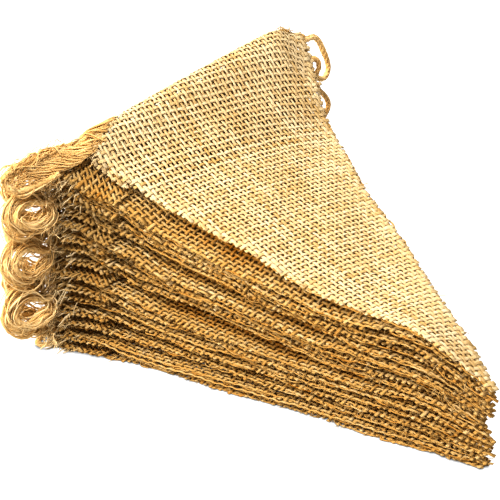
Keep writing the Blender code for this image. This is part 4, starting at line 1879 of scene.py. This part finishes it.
def camera_sees(tree: bpy.types.NodeTree, shown: bpy.types.Node, otherwise: bpy.types.Node,
                output: str) -> None:
    """Show the camera one shader, and let every other ray meet another one.

    Args:
        tree: The tree of a material or the world.
        shown: The node that camera rays meet.
        otherwise: The node that all other rays meet.
        output: The name of the tree's output node.
    """
    seen = tree.nodes.new("ShaderNodeLightPath")
    mix = tree.nodes.new("ShaderNodeMixShader")
    tree.links.new(seen.outputs["Is Camera Ray"], mix.inputs["Fac"])
    tree.links.new(otherwise.outputs[0], mix.inputs[1])
    tree.links.new(shown.outputs[0], mix.inputs[2])
    tree.links.new(mix.outputs[0], tree.nodes[output].inputs["Surface"])


@dataclass(frozen=True)
class SoftLight:
    """A square studio light: where it stands in metres, its side, its power and its colour."""

    name: str
    place: tuple[float, float, float]
    side: float
    power: float
    colour: tuple[float, float, float] = (1.0, 1.0, 1.0)

    def make(self, aim: np.ndarray) -> None:
        """Stand the light so that it faces a point.

        Args:
            aim: The point in metres.
        """
        lamp = bpy.data.lights.new(self.name, "AREA")
        lamp.shape = "SQUARE"
        lamp.size = self.side
        lamp.energy = self.power
        lamp.color = self.colour
        piece = bpy.data.objects.new(self.name, lamp)
        bpy.context.scene.collection.objects.link(piece)
        away = unit(np.array(self.place) - aim)
        across = unit(np.cross(STEADY, away))
        stand(piece, across, np.cross(away, across), away, np.array(self.place))


# The key light, wide ones above and behind, and a warm low one at the left. STEADY is the
# direction that the lights' own X is square to.
STEADY = np.array([0.0, 0.13, 1.0])
LIGHTS = (
    SoftLight("key_light", (0.34, -0.66, 1.28), 0.3, 18.8, (1.0, 0.985, 0.97)),
    SoftLight("top_light", (0.1, 0.2, 1.5), 0.5, 6.0),
    SoftLight("left_light", (-0.45, -0.95, 0.55), 0.5, 13.4, (1.0, 0.92, 0.78)),
    SoftLight("back_light", (-0.85, 0.8, 0.6), 0.9, 17.0, (1.0, 0.95, 0.88)),
)


@dataclass(frozen=True)
class Studio:
    """The pale floor, the soft lights and the camera at the photograph's angle.

    The camera's place and directions are given in the stack's own frame, in millimetres.
    """

    eye: tuple[float, float, float] = (481.0, -339.6, 317.6)
    forward: tuple[float, float, float] = (-0.7123, 0.5481, -0.4384)
    right: tuple[float, float, float] = (0.6218, 0.7825, -0.0321)
    focal: float = 1218.3
    frame_size: float = 500.0
    sensor: float = 36.0
    clip_start: float = 0.01
    floor_half: float = 4.0
    floor_grey: float = 0.62
    floor_roughness: float = 0.9
    floor_specular: float = 0.1
    floor_glow: float = 0.1
    # The reach of the ambient occlusion that paints the contact shadow into the floor's glow.
    painted_shadow_reach: float = 2.5 * MM
    aim: tuple[float, float, float] = (0.0, 0.0, 0.06)
    sky: tuple[float, float, float] = (1.0, 0.64, 0.24)
    sky_strength: float = 0.17
    exposure: float = 0.5
    gamma: float = 0.72

    def place_camera(self) -> None:
        """Make the camera and set it as the scene's own."""
        lens = bpy.data.cameras.new("camera")
        lens.sensor_width = self.sensor
        lens.lens = self.focal / self.frame_size * self.sensor
        lens.clip_start = self.clip_start
        camera = bpy.data.objects.new("camera", lens)
        bpy.context.scene.collection.objects.link(camera)
        back = -unit(np.array(self.forward))
        up = unit(np.cross(back, np.array(self.right)))
        stand(camera, np.cross(up, back), up, back, (np.array(self.eye) + OFFSET) * MM)
        bpy.context.scene.camera = camera

    def lay_floor(self) -> None:
        """A plain pale floor, wide enough for every view. The camera sees it as a white glow with a
        painted contact shadow, darker only where something is close above it."""
        half = self.floor_half
        corners = [(-half, -half, 0.0), (half, -half, 0.0), (half, half, 0.0), (-half, half, 0.0)]
        mesh = bpy.data.meshes.new("floor")
        mesh.from_pydata(corners, [], [(0, 1, 2, 3)])
        material = bpy.data.materials.new("floor_paper")
        material.use_nodes = True
        tree = material.node_tree
        shader = tree.nodes["Principled BSDF"]
        shader.inputs["Base Color"].default_value = (*[self.floor_grey] * 3, 1.0)
        shader.inputs["Roughness"].default_value = self.floor_roughness
        shader.inputs["Specular IOR Level"].default_value = self.floor_specular
        shader.inputs["Emission Color"].default_value = WHITE
        shader.inputs["Emission Strength"].default_value = self.floor_glow
        white = tree.nodes.new("ShaderNodeEmission")
        # Ambient occlusion within a short reach darkens the camera's white: a painted contact shadow.
        painted_contact_shadow = tree.nodes.new("ShaderNodeAmbientOcclusion")
        painted_contact_shadow.inputs["Distance"].default_value = self.painted_shadow_reach
        tree.links.new(painted_contact_shadow.outputs["Color"], white.inputs["Color"])
        camera_sees(tree, white, shader, "Material Output")
        mesh.materials.append(material)
        floor = bpy.data.objects.new("floor", mesh)
        bpy.context.scene.collection.objects.link(floor)

    def light(self) -> None:
        """The soft lights, a world that is warm to all but the camera, and the view settings."""
        for lamp in LIGHTS:
            lamp.make(np.array(self.aim))
        world = bpy.data.worlds.new("studio")
        world.use_nodes = True
        tree = world.node_tree
        warm = tree.nodes["Background"]
        warm.inputs["Color"].default_value = (*self.sky, 1.0)
        warm.inputs["Strength"].default_value = self.sky_strength
        white = tree.nodes.new("ShaderNodeBackground")
        white.inputs["Color"].default_value = WHITE
        camera_sees(tree, white, warm, "World Output")
        bpy.context.scene.world = world
        view = bpy.context.scene.view_settings
        view.view_transform = "Standard"
        view.exposure = self.exposure
        view.gamma = self.gamma


def plain(box: object) -> list[list[float]]:
    """A box's two corners as lists of numbers."""
    return [[float(value) for value in corner] for corner in box]


BURLAP = JuteFinish(
    name="burlap",
    dark=(0.355, 0.16, 0.014), middle=(0.44, 0.30, 0.118), pale=(0.62, 0.535, 0.375),
    twist=7.0, streaks=0.7, patches=0.25, fineness=1.6, relief=0.6,
)
JUTE_TWINE = JuteFinish(
    name="jute_twine",
    dark=(0.42, 0.25, 0.09), middle=(0.69, 0.505, 0.25), pale=(0.84, 0.70, 0.45),
    twist=9.0, streaks=1.1, patches=0.5, fineness=2.2, relief=0.7,
)


def main() -> None:
    """Build the string of pennants, dress it and light it."""
    logging.basicConfig(level=logging.INFO, format="%(name)s: %(message)s")
    studio = Studio()
    studio.place_camera()
    fibres = fibre_group()
    burlap = BURLAP.make(fibres)
    twine = JUTE_TWINE.make(fibres)
    paths = TwineString(Twine(), twine).build()
    LOG.info("twine: %d free stretches", len(paths))
    threads = LooseThreads({BURLAP_SLOT: burlap, TWINE_SLOT: twine}).build(paths)
    LOG.info("loose threads: %d pieces on the pennants", len(threads))
    for layer in range(PENNANTS):
        closeness = Closeness.FINE if layer == PENNANTS - 1 else Closeness.EDGED
        pennant = BurlapPennant(layer, closeness)
        cloth = pennant.build(burlap)
        pennant.declare()
        LOG.info("%s: %d faces", cloth.name, len(cloth.data.polygons))
    studio.lay_floor()
    studio.light()


if __name__ == "__main__":
    main()
